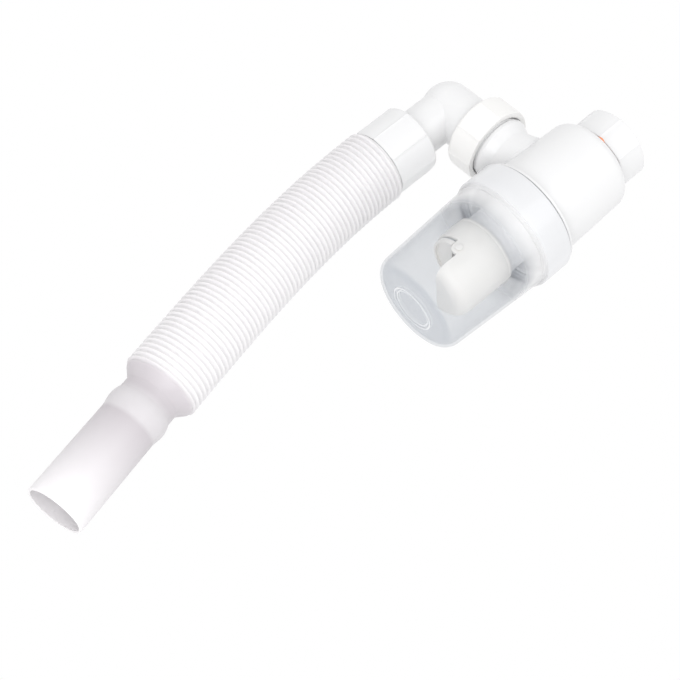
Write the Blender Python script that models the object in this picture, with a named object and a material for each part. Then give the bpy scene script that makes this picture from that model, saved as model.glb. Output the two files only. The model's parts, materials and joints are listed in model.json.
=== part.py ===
"""Basin bottle trap with an anti-odour flap core and a corrugated waste hose.

The trap hangs as it is installed, +Z up. The origin is the centre of the inlet, level with the top face
of the inlet seal, where the tail of the basin waste presses. The branch leaves the body along -X, and the
elbow turns it down into the hose. All sizes are in metres.
"""

import math

import bmesh
import bpy
from mathutils import Matrix, Vector

# Shared values
CLEARANCE = 0.0003
OVERRUN = 0.005
MERGE_DISTANCE = 0.000001
SHARP_ANGLE = math.radians(32)
NUT_RIDGES = 8
NUT_EDGE = 0.0010

# Sides of the turned pieces
BODY_SIDES = 28
NUT_SIDES = 24
TUBE_SIDES = 20
HOSE_SIDES = 16
PIN_SIDES = 12

# Inlet nut, around the thread of the basin waste
INLET_NUT_BORE = 0.0205
INLET_NUT_WALL = 0.0052
INLET_NUT_RISE = 0.0013
INLET_NUT_HEIGHT = 0.0198
INLET_NUT_SHOULDER = 0.0012
INLET_NUT_TURN = math.radians(-85)
INLET_NUT_FLAT = INLET_NUT_BORE + INLET_NUT_WALL
INLET_NUT_RADIUS = INLET_NUT_FLAT + INLET_NUT_RISE

# Inlet stack, from the top down
INLET_SEAL_THICKNESS = 0.0022
INLET_FLANGE_THICKNESS = 0.0025
INLET_FLANGE_PLAY = 0.0009
INLET_FLANGE_RADIUS = INLET_NUT_BORE - INLET_FLANGE_PLAY
INLET_LIP_THICKNESS = 0.0040
INLET_WASHER_THICKNESS = 0.0019
INLET_WASHER_INSET = 0.0008
INLET_WASHER_RADIUS = INLET_NUT_RADIUS - INLET_WASHER_INSET
INLET_WASHER_SHIFT = 0.0016
INLET_WASHER_TURN = math.radians(-98)
NECK_STEP = 0.0021
NECK_WALL = 0.0023
NECK_RADIUS = INLET_FLANGE_RADIUS - NECK_STEP
NECK_BORE = NECK_RADIUS - NECK_WALL

# Branch of the body
BRANCH_RADIUS = 0.0195
BRANCH_WALL = 0.0030
BRANCH_BORE = BRANCH_RADIUS - BRANCH_WALL
BRANCH_FLARE = 0.0020
BRANCH_NECK_LENGTH = 0.0078
BRANCH_COLLAR_RISE = 0.0034
BRANCH_COLLAR_RADIUS = BRANCH_RADIUS + BRANCH_COLLAR_RISE
BRANCH_COLLAR_LENGTH = 0.0100
BRANCH_COLLAR_CONE = 0.0070
BRANCH_THREAD_RISE = 0.0021
BRANCH_THREAD_RADIUS = BRANCH_RADIUS + BRANCH_THREAD_RISE
BRANCH_THREAD_LENGTH = 0.0125

# Body, as high as its branch needs
BODY_MARGIN_OVER_BRANCH = 0.0147
BODY_MARGIN_UNDER_BRANCH = 0.0065
BRANCH_DROP = BODY_MARGIN_OVER_BRANCH + BRANCH_RADIUS + BRANCH_FLARE
BODY_HEIGHT = BRANCH_DROP + BRANCH_RADIUS + BRANCH_FLARE + BODY_MARGIN_UNDER_BRANCH
BODY_BASE_RADIUS = 0.0357
BODY_DRAFT = 0.0022
BODY_TOP_RADIUS = BODY_BASE_RADIUS - BODY_DRAFT
BODY_ROUNDING = 0.0085
BODY_WALL = 0.0025
BODY_FLANGE_THICKNESS = 0.0020
SKIRT_STEP = 0.0015
SKIRT_RADIUS = BODY_BASE_RADIUS + SKIRT_STEP
SKIRT_WALL = 0.0034
SKIRT_BORE = SKIRT_RADIUS - SKIRT_WALL
SKIRT_LENGTH = 0.0178
BODY_FLANGE_WIDTH = 0.0032
BODY_FLANGE_RADIUS = SKIRT_RADIUS + BODY_FLANGE_WIDTH

# Union nuts on the elbow
UNION_THREAD_PLAY = 0.0009
UNION_NUT_BORE = BRANCH_THREAD_RADIUS + UNION_THREAD_PLAY
UNION_NUT_WALL = 0.0043
UNION_NUT_RISE = 0.0014
UNION_NUT_FLAT = UNION_NUT_BORE + UNION_NUT_WALL
UNION_NUT_RADIUS = UNION_NUT_FLAT + UNION_NUT_RISE
UNION_LIP_THICKNESS = 0.0052
UNION_NUT_SHOULDER = 0.0040
UNION_NUT_TURN = math.radians(-96)
UNION_NUT_GAP = 0.0011
HOSE_NUT_WALL = 0.0021
HOSE_NUT_RISE = 0.0012
HOSE_NUT_FLAT = UNION_NUT_BORE + HOSE_NUT_WALL
HOSE_NUT_RADIUS = HOSE_NUT_FLAT + HOSE_NUT_RISE
HOSE_NUT_LENGTH = 0.0332
HOSE_NUT_TURN = math.radians(-86)
UNION_SEAL_THICKNESS = 0.0020
UNION_SEAL_PLAY = 0.0011
UNION_SEAL_RADIUS = UNION_NUT_BORE - UNION_SEAL_PLAY
UNION_FLANGE_THICKNESS = 0.0025
UNION_FLANGE_RADIUS = UNION_NUT_BORE - CLEARANCE

# Elbow: a ball head on the branch and a narrower leg down to the hose
UNION_FLANGE_STEP = 0.0026
ELBOW_HEAD_RADIUS = UNION_FLANGE_RADIUS - UNION_FLANGE_STEP
ELBOW_LEG_STEP = 0.0021
ELBOW_RADIUS = ELBOW_HEAD_RADIUS - ELBOW_LEG_STEP
ELBOW_WALL = 0.0022
ELBOW_STRAIGHT = 0.0064
ELBOW_LEG = 0.0153
ELBOW_TAIL = 0.0030
SPLIT_RING_THICKNESS = 0.0025
SPLIT_RING_DEPTH = 0.0010
SPLIT_RING_SLOT = 0.0030
BRANCH_LIP_BORE = ELBOW_HEAD_RADIUS + CLEARANCE
HOSE_LIP_BORE = ELBOW_RADIUS + CLEARANCE

# Dip tube and the socket of the core
DIP_TUBE_RADIUS = 0.0225
DIP_TUBE_WALL = 0.0022
DIP_TUBE_LENGTH = 0.1120
CORE_SOCKET = 0.0120
CORE_RING_THICKNESS = 0.0020
CORE_WALL = 0.0022
CORE_LEDGE = 0.0013
CORE_RADIUS = DIP_TUBE_RADIUS + CLEARANCE + CORE_WALL

# Flap
FLAP_INSET = 0.0014
FLAP_RADIUS = CORE_RADIUS - FLAP_INSET
FLAP_CHORD = 0.0062
FLAP_THICKNESS = 0.0016
FLAP_RIM_HEIGHT = 0.0018
FLAP_RIM_WIDTH = 0.0015
FLAP_PAD_THICKNESS = 0.0010
FLAP_PAD_INSET = 0.0006
FLAP_BOSS_RADIUS = 0.0030
FLAP_BOSS_GAP = 0.0037
FLAP_ARM_WIDTH = 0.0040
FLAP_ARM_THICKNESS = 0.0026
FLAP_TAIL_X = 0.0090
FLAP_TAIL_Z = -0.0120
FLAP_TAIL_WIDTH = 0.0100
FLAP_TAIL_THICKNESS = 0.0024
FLAP_TAIL_GAP = 0.0022
FLAP_EYE_RADIUS = 0.0042
FLAP_EYE_WALL = 0.0008
FLAP_WEIGHT_RADIUS = FLAP_EYE_RADIUS - FLAP_EYE_WALL - CLEARANCE
FLAP_WEIGHT_LENGTH = 0.0180

# Core, its guard and its hinge
CORE_SLEEVE = 0.0190
CORE_GUARD_WALL = 0.0018
CORE_ROUNDING = 0.0090
CORE_MOUTH = 0.0020
CORE_PLATE = 0.0018
CORE_PORT_MARGIN = 0.0010
CORE_PORT_RADIUS = DIP_TUBE_RADIUS + CLEARANCE - CORE_LEDGE - CORE_PORT_MARGIN
CORE_PORT_CHORD = 0.0080
EAR_RADIUS = 0.0050
PIN_DROP = 0.0040
PIN_RADIUS = 0.0015
PIN_HEAD_RADIUS = 0.0026
PIN_HEAD_THICKNESS = 0.0012
FLAP_TAIL_REACH = math.hypot(FLAP_TAIL_X, FLAP_TAIL_Z)
CORE_GUARD = PIN_DROP + FLAP_TAIL_REACH + FLAP_EYE_RADIUS + FLAP_TAIL_GAP + CORE_GUARD_WALL
FLAP_BOSS_HALF = CORE_RADIUS - CORE_GUARD_WALL - FLAP_BOSS_GAP

# Cup, around the skirt and below the core
CUP_SEAL_THICKNESS = 0.0024
CUP_SEAL_WIDTH = 0.0013
CUP_COLLAR_BORE = SKIRT_RADIUS + CLEARANCE + CUP_SEAL_WIDTH + CLEARANCE
CUP_COLLAR_WALL = 0.0031
CUP_COLLAR_RADIUS = CUP_COLLAR_BORE + CUP_COLLAR_WALL
CUP_COLLAR_TAIL = 0.0044
CUP_COLLAR_HEIGHT = SKIRT_LENGTH + CUP_COLLAR_TAIL
CUP_COLLAR_EDGE = 0.0012
CUP_STEP = 0.0014
CUP_SHOULDER = 0.0021
CUP_TOP_RADIUS = CUP_COLLAR_RADIUS - CUP_SHOULDER
CUP_DRAFT = 0.0044
CUP_BASE_RADIUS = CUP_TOP_RADIUS - CUP_DRAFT
CUP_SUMP_DEPTH = 0.0178
CUP_ROUNDING = 0.0090
CUP_WALL = 0.0018
CUP_RING_RADIUS = 0.0164
CUP_RING_WIDTH = 0.0013
CUP_RING_HEIGHT = 0.0005

# Hose
HOSE_CUFF_RADIUS = UNION_NUT_BORE - UNION_THREAD_PLAY
HOSE_LIP_THICKNESS = 0.0020
HOSE_CUFF_GAP = 0.0010
HOSE_WALL = 0.0012
HOSE_SWELL = 0.0037
HOSE_RIDGE_RISE = 0.0016
HOSE_ROOT_RADIUS = HOSE_CUFF_RADIUS + HOSE_SWELL
HOSE_CREST_RADIUS = HOSE_ROOT_RADIUS + HOSE_RIDGE_RISE
HOSE_PITCH = 0.00391
HOSE_RIDGES = 57
HOSE_BEND = math.radians(14.21)
HOSE_BEND_TURN = math.radians(-10)
HOSE_CONE_LENGTH = 0.0081
HOSE_SPIGOT_RADIUS = 0.0200
HOSE_SPIGOT_LENGTH = 0.0706
HOSE_SPIGOT_FLARE = 0.0004
HOSE_SPIGOT_WALL = 0.0018
HOSE_NECK_STEP = 0.0006
HOSE_NECK_RADIUS = HOSE_SPIGOT_RADIUS - HOSE_NECK_STEP
HOSE_NECK_LENGTH = 0.0081
HOSE_BEAD_RISE = 0.0012
HOSE_BEAD_RADIUS = HOSE_SPIGOT_RADIUS + HOSE_BEAD_RISE
HOSE_BEAD_LENGTH = 0.0161

# Heights that follow from the inlet stack
FLANGE_TOP = -INLET_SEAL_THICKNESS - CLEARANCE
FLANGE_BOTTOM = FLANGE_TOP - INLET_FLANGE_THICKNESS
INLET_NUT_FOOT = FLANGE_BOTTOM - CLEARANCE - INLET_LIP_THICKNESS
WASHER_TOP = INLET_NUT_FOOT - CLEARANCE
BODY_TOP = WASHER_TOP - INLET_WASHER_THICKNESS - CLEARANCE
BODY_BOTTOM = BODY_TOP - BODY_HEIGHT
BRANCH_LEVEL = BODY_TOP - BRANCH_DROP
SHOULDER_TOP = BODY_TOP - BODY_WALL - CLEARANCE
DIP_TUBE_END = SHOULDER_TOP - DIP_TUBE_LENGTH
CORE_TOP = DIP_TUBE_END + CORE_SOCKET
CORE_SHELF = DIP_TUBE_END - CORE_RING_THICKNESS - CLEARANCE - CLEARANCE
CORE_SEAT = CORE_TOP - CORE_SLEEVE
CORE_BOTTOM = CORE_SEAT - CORE_GUARD
PIN_LEVEL = CORE_SEAT - PIN_DROP
CUP_RIM = BODY_BOTTOM - CLEARANCE
CUP_BASE = CORE_BOTTOM - CUP_SUMP_DEPTH - CUP_WALL

# Places along the branch and the elbow, as distances from the body's axis
BRANCH_COLLAR_START = BODY_BASE_RADIUS + BRANCH_NECK_LENGTH
BRANCH_THREAD_START = BRANCH_COLLAR_START + BRANCH_COLLAR_LENGTH
BRANCH_REACH = BRANCH_THREAD_START + BRANCH_THREAD_LENGTH
BRANCH_SEAL_START = BRANCH_REACH + CLEARANCE
ELBOW_FACE = BRANCH_SEAL_START + UNION_SEAL_THICKNESS + CLEARANCE
UNION_NUT_LIP = ELBOW_FACE + UNION_FLANGE_THICKNESS + CLEARANCE
UNION_NUT_END = UNION_NUT_LIP + UNION_LIP_THICKNESS
UNION_NUT_LENGTH = UNION_NUT_END - BRANCH_THREAD_START - UNION_NUT_GAP
ELBOW_REACH = UNION_NUT_END + ELBOW_STRAIGHT + ELBOW_HEAD_RADIUS

# Depths below the branch axis, along the outlet of the elbow
HOSE_NUT_DROP = ELBOW_HEAD_RADIUS + ELBOW_LEG
SPLIT_RING_START = HOSE_NUT_DROP + UNION_LIP_THICKNESS + CLEARANCE
ELBOW_END = SPLIT_RING_START + SPLIT_RING_THICKNESS + ELBOW_TAIL
HOSE_SEAL_START = ELBOW_END + CLEARANCE
HOSE_START = HOSE_SEAL_START + UNION_SEAL_THICKNESS + CLEARANCE
HOSE_CUFF_END = HOSE_NUT_DROP + HOSE_NUT_LENGTH + CLEARANCE


def clear_scene():
    for item in list(bpy.data.objects):
        bpy.data.objects.remove(item)


def make_look(name, colour, roughness, transmission=0.0, metallic=0.0):
    """A Principled material of one colour."""
    look = bpy.data.materials.new(name)
    look.use_nodes = True
    shader = look.node_tree.nodes["Principled BSDF"]
    shader.inputs["Base Color"].default_value = (*colour, 1.0)
    shader.inputs["Roughness"].default_value = roughness
    shader.inputs["Metallic"].default_value = metallic
    shader.inputs["Transmission Weight"].default_value = transmission
    look.diffuse_color = (*colour, 1.0)
    return look


def arc(centre_r, centre_z, radius, start, end, steps):
    """Points of a round stretch of a profile, from one angle in degrees to another."""
    points = []
    for i in range(steps + 1):
        angle = math.radians(start + (end - start) * i / steps)
        points.append((centre_r + radius * math.cos(angle), centre_z + radius * math.sin(angle)))
    return points


def turned(profile, sides, closed=True):
    """A bmesh turned about Z from a profile of (radius, height) points."""
    bm = bmesh.new()
    verts = [bm.verts.new((r, 0, z)) for r, z in profile]
    edges = [bm.edges.new(pair) for pair in zip(verts, verts[1:])]
    if closed:
        edges.append(bm.edges.new((verts[-1], verts[0])))
    bmesh.ops.spin(
        bm, geom=verts + edges, axis=(0, 0, 1), cent=(0, 0, 0), angle=math.tau, steps=sides, use_merge=True
    )
    return bm


def ring_profile(inner, outer, bottom, top):
    """The rectangular section of a flat ring."""
    return [(inner, top), (outer, top), (outer, bottom), (inner, bottom)]


def prism(outline, plane, low, high):
    """A bmesh of an outline in the XY or XZ plane, extruded from low to high along the third axis."""
    bm = bmesh.new()
    order = {"XY": lambda a, b: (a, b, low), "XZ": lambda a, b: (a, low, b)}[plane]
    face = bm.faces.new([bm.verts.new(order(a, b)) for a, b in outline])
    travel = {"XY": Vector((0, 0, high - low)), "XZ": Vector((0, high - low, 0))}[plane]
    grown = bmesh.ops.extrude_face_region(bm, geom=[face])["geom"]
    bmesh.ops.translate(bm, verts=[v for v in grown if isinstance(v, bmesh.types.BMVert)], vec=travel)
    return bm


def swept(sections, sides):
    """A bmesh through (centre, normal, binormal, radius) rings, closed from the last to the first."""
    bm = bmesh.new()
    rings = []
    for centre, normal, binormal, radius in sections:
        ring = []
        for i in range(sides):
            angle = math.tau * i / sides
            spoke = math.cos(angle) * normal + math.sin(angle) * binormal
            ring.append(bm.verts.new(centre + radius * spoke))
        rings.append(ring)
    for ring, following in zip(rings, rings[1:] + rings[:1]):
        for i in range(sides):
            j = (i + 1) % sides
            bm.faces.new((ring[i], ring[j], following[j], following[i]))
    return bm


def add_piece(name, bm, look=None, location=(0, 0, 0), rotation=(0, 0, 0)):
    """Links a bmesh as a named object. Without a look it is a helper that the render leaves out."""
    bmesh.ops.remove_doubles(bm, verts=bm.verts, dist=MERGE_DISTANCE)
    bmesh.ops.recalc_face_normals(bm, faces=bm.faces)
    mesh = bpy.data.meshes.new(name)
    bm.to_mesh(mesh)
    bm.free()
    piece = bpy.data.objects.new(name, mesh)
    piece.location = location
    piece.rotation_euler = rotation
    bpy.context.scene.collection.objects.link(piece)
    if look is None:
        piece.hide_render = True
        piece.display_type = "WIRE"
    else:
        mesh.materials.append(look)
        mesh.shade_smooth()
        mesh.set_sharp_from_angle(angle=SHARP_ANGLE)
    return piece


def combine(piece, tool, operation):
    """Adds a Boolean of a helper to a piece. A helper stays at its own place."""
    modifier = piece.modifiers.new(tool.name, "BOOLEAN")
    modifier.operation = operation
    modifier.object = tool
    modifier.solver = "EXACT"


def washer(name, inner, outer, thickness, look, location, rotation=(0, 0, 0), sides=TUBE_SIDES):
    """A flat ring whose top face is at its origin."""
    bm = turned(ring_profile(inner, outer, -thickness, 0), sides)
    return add_piece(name, bm, look, location, rotation)


def octagon_nut(name, look, size, lip_face, rotation):
    """An octagonal union nut. Its lipped end is at its origin, and its open mouth is up its own Z."""
    corner, length, edge, shoulder = size["radius"], size["length"], NUT_EDGE, size["shoulder"]
    profile = [(size["lip_bore"], 0)]
    profile += arc(corner - shoulder, shoulder, shoulder, -90, 0, 3)
    profile += [(corner, length - edge), (corner - edge, length), (size["bore"] + edge, length)]
    profile += [(size["bore"], length - edge), (size["bore"], size["lip"]), (size["lip_bore"], size["lip"])]
    bm = turned(profile, NUT_SIDES)
    bmesh.ops.rotate(bm, verts=bm.verts, cent=(0, 0, 0), matrix=Matrix.Rotation(size["turn"], 3, "Z"))
    press_flats(bm, size["flat"], size["bore"] + edge + CLEARANCE, size["turn"])
    return add_piece(name, bm, look, lip_face, rotation)


def press_flats(bm, flat, inside, turn):
    """Presses the flats of a nut between its ridges, leaving what is nearer the axis than inside."""
    sector = math.tau / NUT_RIDGES
    for vert in bm.verts:
        radius = math.hypot(vert.co.x, vert.co.y)
        if radius <= inside:
            continue
        angle = (math.atan2(vert.co.y, vert.co.x) - turn) % sector - sector / 2
        reach = min(radius, flat / math.cos(angle))
        vert.co.x *= reach / radius
        vert.co.y *= reach / radius


# Body with its branch

def make_body(look):
    """The moulded body: a drafted barrel, a flange over a skirt, and the side branch."""
    flange_top = BODY_BOTTOM + BODY_FLANGE_THICKNESS
    shoulder = (BODY_TOP_RADIUS - BODY_ROUNDING, BODY_TOP - BODY_ROUNDING)
    outside = [(0, BODY_TOP)]
    outside += arc(*shoulder, BODY_ROUNDING, 90, 0, 5)
    outside += [
        (BODY_BASE_RADIUS, flange_top),
        (BODY_FLANGE_RADIUS, flange_top),
        (BODY_FLANGE_RADIUS, BODY_BOTTOM),
        (SKIRT_RADIUS, BODY_BOTTOM),
        (SKIRT_RADIUS, BODY_BOTTOM - SKIRT_LENGTH),
        (0, BODY_BOTTOM - SKIRT_LENGTH),
    ]
    body = add_piece("trap_body", turned(outside, BODY_SIDES, closed=False), look)

    neck_start = BODY_BASE_RADIUS - BODY_WALL
    side = [(0, 0), (BRANCH_RADIUS, 0), (BRANCH_RADIUS + BRANCH_FLARE, neck_start - BRANCH_FLARE)]
    side += arc(BRANCH_RADIUS + BRANCH_FLARE, neck_start + BRANCH_FLARE / 2, BRANCH_FLARE, 240, 180, 3)
    side += [
        (BRANCH_RADIUS, BRANCH_COLLAR_START),
        (BRANCH_COLLAR_RADIUS, BRANCH_COLLAR_START + BRANCH_COLLAR_CONE),
        (BRANCH_COLLAR_RADIUS, BRANCH_THREAD_START),
        (BRANCH_THREAD_RADIUS, BRANCH_THREAD_START),
        (BRANCH_THREAD_RADIUS, BRANCH_REACH),
        (0, BRANCH_REACH),
    ]
    to_branch = (0, -math.pi / 2, 0)
    at_branch = (0, 0, BRANCH_LEVEL)
    branch = add_piece("branch_helper", turned(side, TUBE_SIDES, closed=False), None, at_branch, to_branch)
    combine(body, branch, "UNION")

    ceiling = BODY_TOP - BODY_WALL
    hole_radius = NECK_RADIUS + CLEARANCE
    inside = [
        (0, BODY_TOP + OVERRUN),
        (hole_radius, BODY_TOP + OVERRUN),
        (hole_radius, ceiling),
        *arc(*shoulder, BODY_ROUNDING - BODY_WALL, 90, 0, 4),
        (SKIRT_BORE, BODY_BOTTOM),
        (SKIRT_BORE, BODY_BOTTOM - SKIRT_LENGTH - OVERRUN),
        (0, BODY_BOTTOM - SKIRT_LENGTH - OVERRUN),
    ]
    cavity = add_piece("cavity_helper", turned(inside, BODY_SIDES, closed=False), None)
    combine(body, cavity, "DIFFERENCE")

    bore = [(0, 0), (BRANCH_BORE, 0), (BRANCH_BORE, BRANCH_REACH + OVERRUN), (0, BRANCH_REACH + OVERRUN)]
    tunnel = turned(bore, TUBE_SIDES, closed=False)
    combine(body, add_piece("branch_bore_helper", tunnel, None, at_branch, to_branch), "DIFFERENCE")
    return body


# Inlet

def make_inlet(white, orange, rubber):
    """The dip tube, its seals and the nut that is captive under its flange."""
    bore = DIP_TUBE_RADIUS - DIP_TUBE_WALL
    shoulder_inside = SHOULDER_TOP - DIP_TUBE_WALL - (bore - NECK_BORE)
    tube = [
        (NECK_BORE, FLANGE_TOP),
        (INLET_FLANGE_RADIUS, FLANGE_TOP),
        (INLET_FLANGE_RADIUS, FLANGE_BOTTOM),
        (NECK_RADIUS, FLANGE_BOTTOM),
        (NECK_RADIUS, SHOULDER_TOP),
        (DIP_TUBE_RADIUS, SHOULDER_TOP),
        (DIP_TUBE_RADIUS, DIP_TUBE_END),
        (bore, DIP_TUBE_END),
        (bore, shoulder_inside),
        (NECK_BORE, SHOULDER_TOP - DIP_TUBE_WALL),
    ]
    add_piece("dip_tube", turned(tube, TUBE_SIDES), white)
    washer("inlet_seal", NECK_BORE, INLET_FLANGE_RADIUS, INLET_SEAL_THICKNESS, rubber, (0, 0, 0))
    shift = (
        INLET_WASHER_SHIFT * math.cos(INLET_WASHER_TURN),
        INLET_WASHER_SHIFT * math.sin(INLET_WASHER_TURN),
        WASHER_TOP,
    )
    washer_bore = NECK_RADIUS + CLEARANCE + INLET_WASHER_SHIFT
    washer("inlet_washer", washer_bore, INLET_WASHER_RADIUS, INLET_WASHER_THICKNESS, orange, shift)
    size = {
        "radius": INLET_NUT_RADIUS,
        "flat": INLET_NUT_FLAT,
        "length": INLET_NUT_HEIGHT,
        "bore": INLET_NUT_BORE,
        "lip": INLET_LIP_THICKNESS,
        "lip_bore": NECK_RADIUS + CLEARANCE,
        "shoulder": INLET_NUT_SHOULDER,
        "turn": INLET_NUT_TURN,
    }
    octagon_nut("inlet_nut", white, size, (0, 0, INLET_NUT_FOOT), (0, 0, 0))


# Core with its flap

def make_core(cream, rubber):
    """The anti-odour core: socket, plate with a port, hinge ears and a scoop-shaped guard."""
    socket = DIP_TUBE_RADIUS + CLEARANCE
    throat = socket - CORE_LEDGE
    round_level = CORE_BOTTOM + CORE_ROUNDING
    profile = [(0, CORE_SEAT + CORE_PLATE), (throat, CORE_SEAT + CORE_PLATE), (throat, CORE_SHELF)]
    profile += [(socket, CORE_SHELF), (socket, CORE_TOP), (CORE_RADIUS, CORE_TOP)]
    profile += arc(CORE_RADIUS - CORE_ROUNDING, round_level, CORE_ROUNDING, 0, -90, 3)
    profile += [(0, CORE_BOTTOM)]
    core = add_piece("valve_core", turned(profile, TUBE_SIDES, closed=False), cream)

    hollow = [(0, CORE_SEAT), (CORE_RADIUS - CORE_GUARD_WALL, CORE_SEAT)]
    hollow += arc(CORE_RADIUS - CORE_ROUNDING, round_level, CORE_ROUNDING - CORE_GUARD_WALL, 0, -90, 3)
    hollow += [(0, CORE_BOTTOM + CORE_GUARD_WALL)]
    combine(core, add_piece("guard_hollow_helper", turned(hollow, TUBE_SIDES, closed=False)), "DIFFERENCE")

    far = CORE_RADIUS + OVERRUN
    mouth = [(-far, CORE_SEAT), (-EAR_RADIUS, CORE_SEAT)]
    mouth += arc(0, PIN_LEVEL, EAR_RADIUS, 180, 300, 6)
    mouth += [(CORE_MOUTH, CORE_BOTTOM - OVERRUN), (-far, CORE_BOTTOM - OVERRUN)]
    combine(core, add_piece("mouth_helper", prism(mouth, "XZ", -far, far)), "DIFFERENCE")

    port = segment_outline(CORE_PORT_RADIUS, CORE_PORT_CHORD)
    port_top = CORE_SEAT + CORE_PLATE + CORE_PLATE
    port_cutter = add_piece("port_helper", prism(port, "XY", CORE_SEAT - CORE_PLATE, port_top))
    combine(core, port_cutter, "DIFFERENCE")

    along_y = (math.pi / 2, 0, 0)
    hole_radius = PIN_RADIUS + CLEARANCE
    hole = ring_profile(0, hole_radius, -far, far)
    at_pin = (0, 0, PIN_LEVEL)
    drill = turned(hole, PIN_SIDES, closed=False)
    combine(core, add_piece("pin_hole_helper", drill, None, at_pin, along_y), "DIFFERENCE")
    at_shelf = (0, 0, DIP_TUBE_END - CLEARANCE)
    washer("core_ring", throat, DIP_TUBE_RADIUS, CORE_RING_THICKNESS, rubber, at_shelf)

    face = CORE_RADIUS + CLEARANCE
    tip = face + PIN_HEAD_THICKNESS
    half = [(PIN_RADIUS, face), (PIN_HEAD_RADIUS, face), (PIN_HEAD_RADIUS, tip), (0, tip)]
    pin = [(r, -z) for r, z in reversed(half)] + half
    add_piece("flap_pin", turned(pin, PIN_SIDES, closed=False), cream, at_pin, along_y)


def segment_outline(radius, chord):
    """The part of a circle beyond a chord, on the -X side."""
    half_angle = math.degrees(math.acos(chord / radius))
    return arc(0, 0, radius, 180 - half_angle, 180 + half_angle, 12)


def make_flap(cream, rubber, steel):
    """The half-disc flap with its rim, arms, hinge boss and weighted tail, and its sealing pad."""
    pad_top = CORE_SEAT - CLEARANCE - PIN_LEVEL
    pad_bottom = pad_top - FLAP_PAD_THICKNESS
    top = pad_bottom - CLEARANCE
    under = top - FLAP_THICKNESS
    bottom = under - FLAP_RIM_HEIGHT
    origin = (0, 0, PIN_LEVEL)
    outline = segment_outline(FLAP_RADIUS, FLAP_CHORD)
    flap = add_piece("flap", prism(outline, "XY", bottom, top), cream, origin)

    recess = segment_outline(FLAP_RADIUS - FLAP_RIM_WIDTH, FLAP_CHORD + FLAP_RIM_WIDTH)
    dish = add_piece("flap_dish_helper", prism(recess, "XY", bottom - OVERRUN, under), None, origin)
    combine(flap, dish, "DIFFERENCE")

    arm_low = top - FLAP_ARM_THICKNESS
    for side, share in (("left", -1), ("right", 1)):
        outer = share * FLAP_BOSS_HALF
        inner = outer - share * FLAP_ARM_WIDTH
        reach = FLAP_CHORD + FLAP_RIM_WIDTH / 2
        corners = [(-reach, outer), (0, outer), (0, inner), (-reach, inner)]
        arm = add_piece(f"flap_arm_{side}_helper", prism(corners, "XY", arm_low, top), None, origin)
        combine(flap, arm, "UNION")

    tail = math.atan2(FLAP_TAIL_Z, FLAP_TAIL_X)
    reach = FLAP_TAIL_REACH
    aside = FLAP_TAIL_THICKNESS / 2
    bar = [(0, -aside), (reach, -aside), (reach, aside), (0, aside)]
    tail_bar = prism(bar, "XZ", -FLAP_TAIL_WIDTH / 2, FLAP_TAIL_WIDTH / 2)
    bmesh.ops.rotate(tail_bar, verts=tail_bar.verts, cent=(0, 0, 0), matrix=Matrix.Rotation(-tail, 3, "Y"))
    combine(flap, add_piece("flap_tail_helper", tail_bar, None, origin), "UNION")

    along_y = (math.pi / 2, 0, 0)
    at_eye = (FLAP_TAIL_X, 0, PIN_LEVEL + FLAP_TAIL_Z)
    eye_profile = ring_profile(0, FLAP_EYE_RADIUS, -FLAP_TAIL_WIDTH / 2, FLAP_TAIL_WIDTH / 2)
    eye = add_piece("flap_eye_helper", turned(eye_profile, PIN_SIDES, closed=False), None, at_eye, along_y)
    combine(flap, eye, "UNION")
    slot_profile = ring_profile(0, FLAP_WEIGHT_RADIUS + CLEARANCE, -FLAP_TAIL_WIDTH, FLAP_TAIL_WIDTH)
    slot = turned(slot_profile, PIN_SIDES, closed=False)

    boss_profile = ring_profile(0, FLAP_BOSS_RADIUS, -FLAP_BOSS_HALF, FLAP_BOSS_HALF)
    boss = turned(boss_profile, TUBE_SIDES, closed=False)
    combine(flap, add_piece("flap_boss_helper", boss, None, origin, along_y), "UNION")
    bore_half = FLAP_BOSS_HALF + OVERRUN
    bore_profile = ring_profile(0, PIN_RADIUS + CLEARANCE, -bore_half, bore_half)
    bore = turned(bore_profile, PIN_SIDES, closed=False)
    combine(flap, add_piece("flap_bore_helper", bore, None, origin, along_y), "DIFFERENCE")
    combine(flap, add_piece("flap_slot_helper", slot, None, at_eye, along_y), "DIFFERENCE")
    weight_profile = ring_profile(0, FLAP_WEIGHT_RADIUS, -FLAP_WEIGHT_LENGTH / 2, FLAP_WEIGHT_LENGTH / 2)
    add_piece("flap_weight", turned(weight_profile, PIN_SIDES, closed=False), steel, at_eye, along_y)

    pad = segment_outline(FLAP_RADIUS - FLAP_PAD_INSET, FLAP_CHORD + FLAP_PAD_INSET)
    add_piece("flap_pad", prism(pad, "XY", pad_bottom, pad_top), rubber, origin)


# Cup

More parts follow.
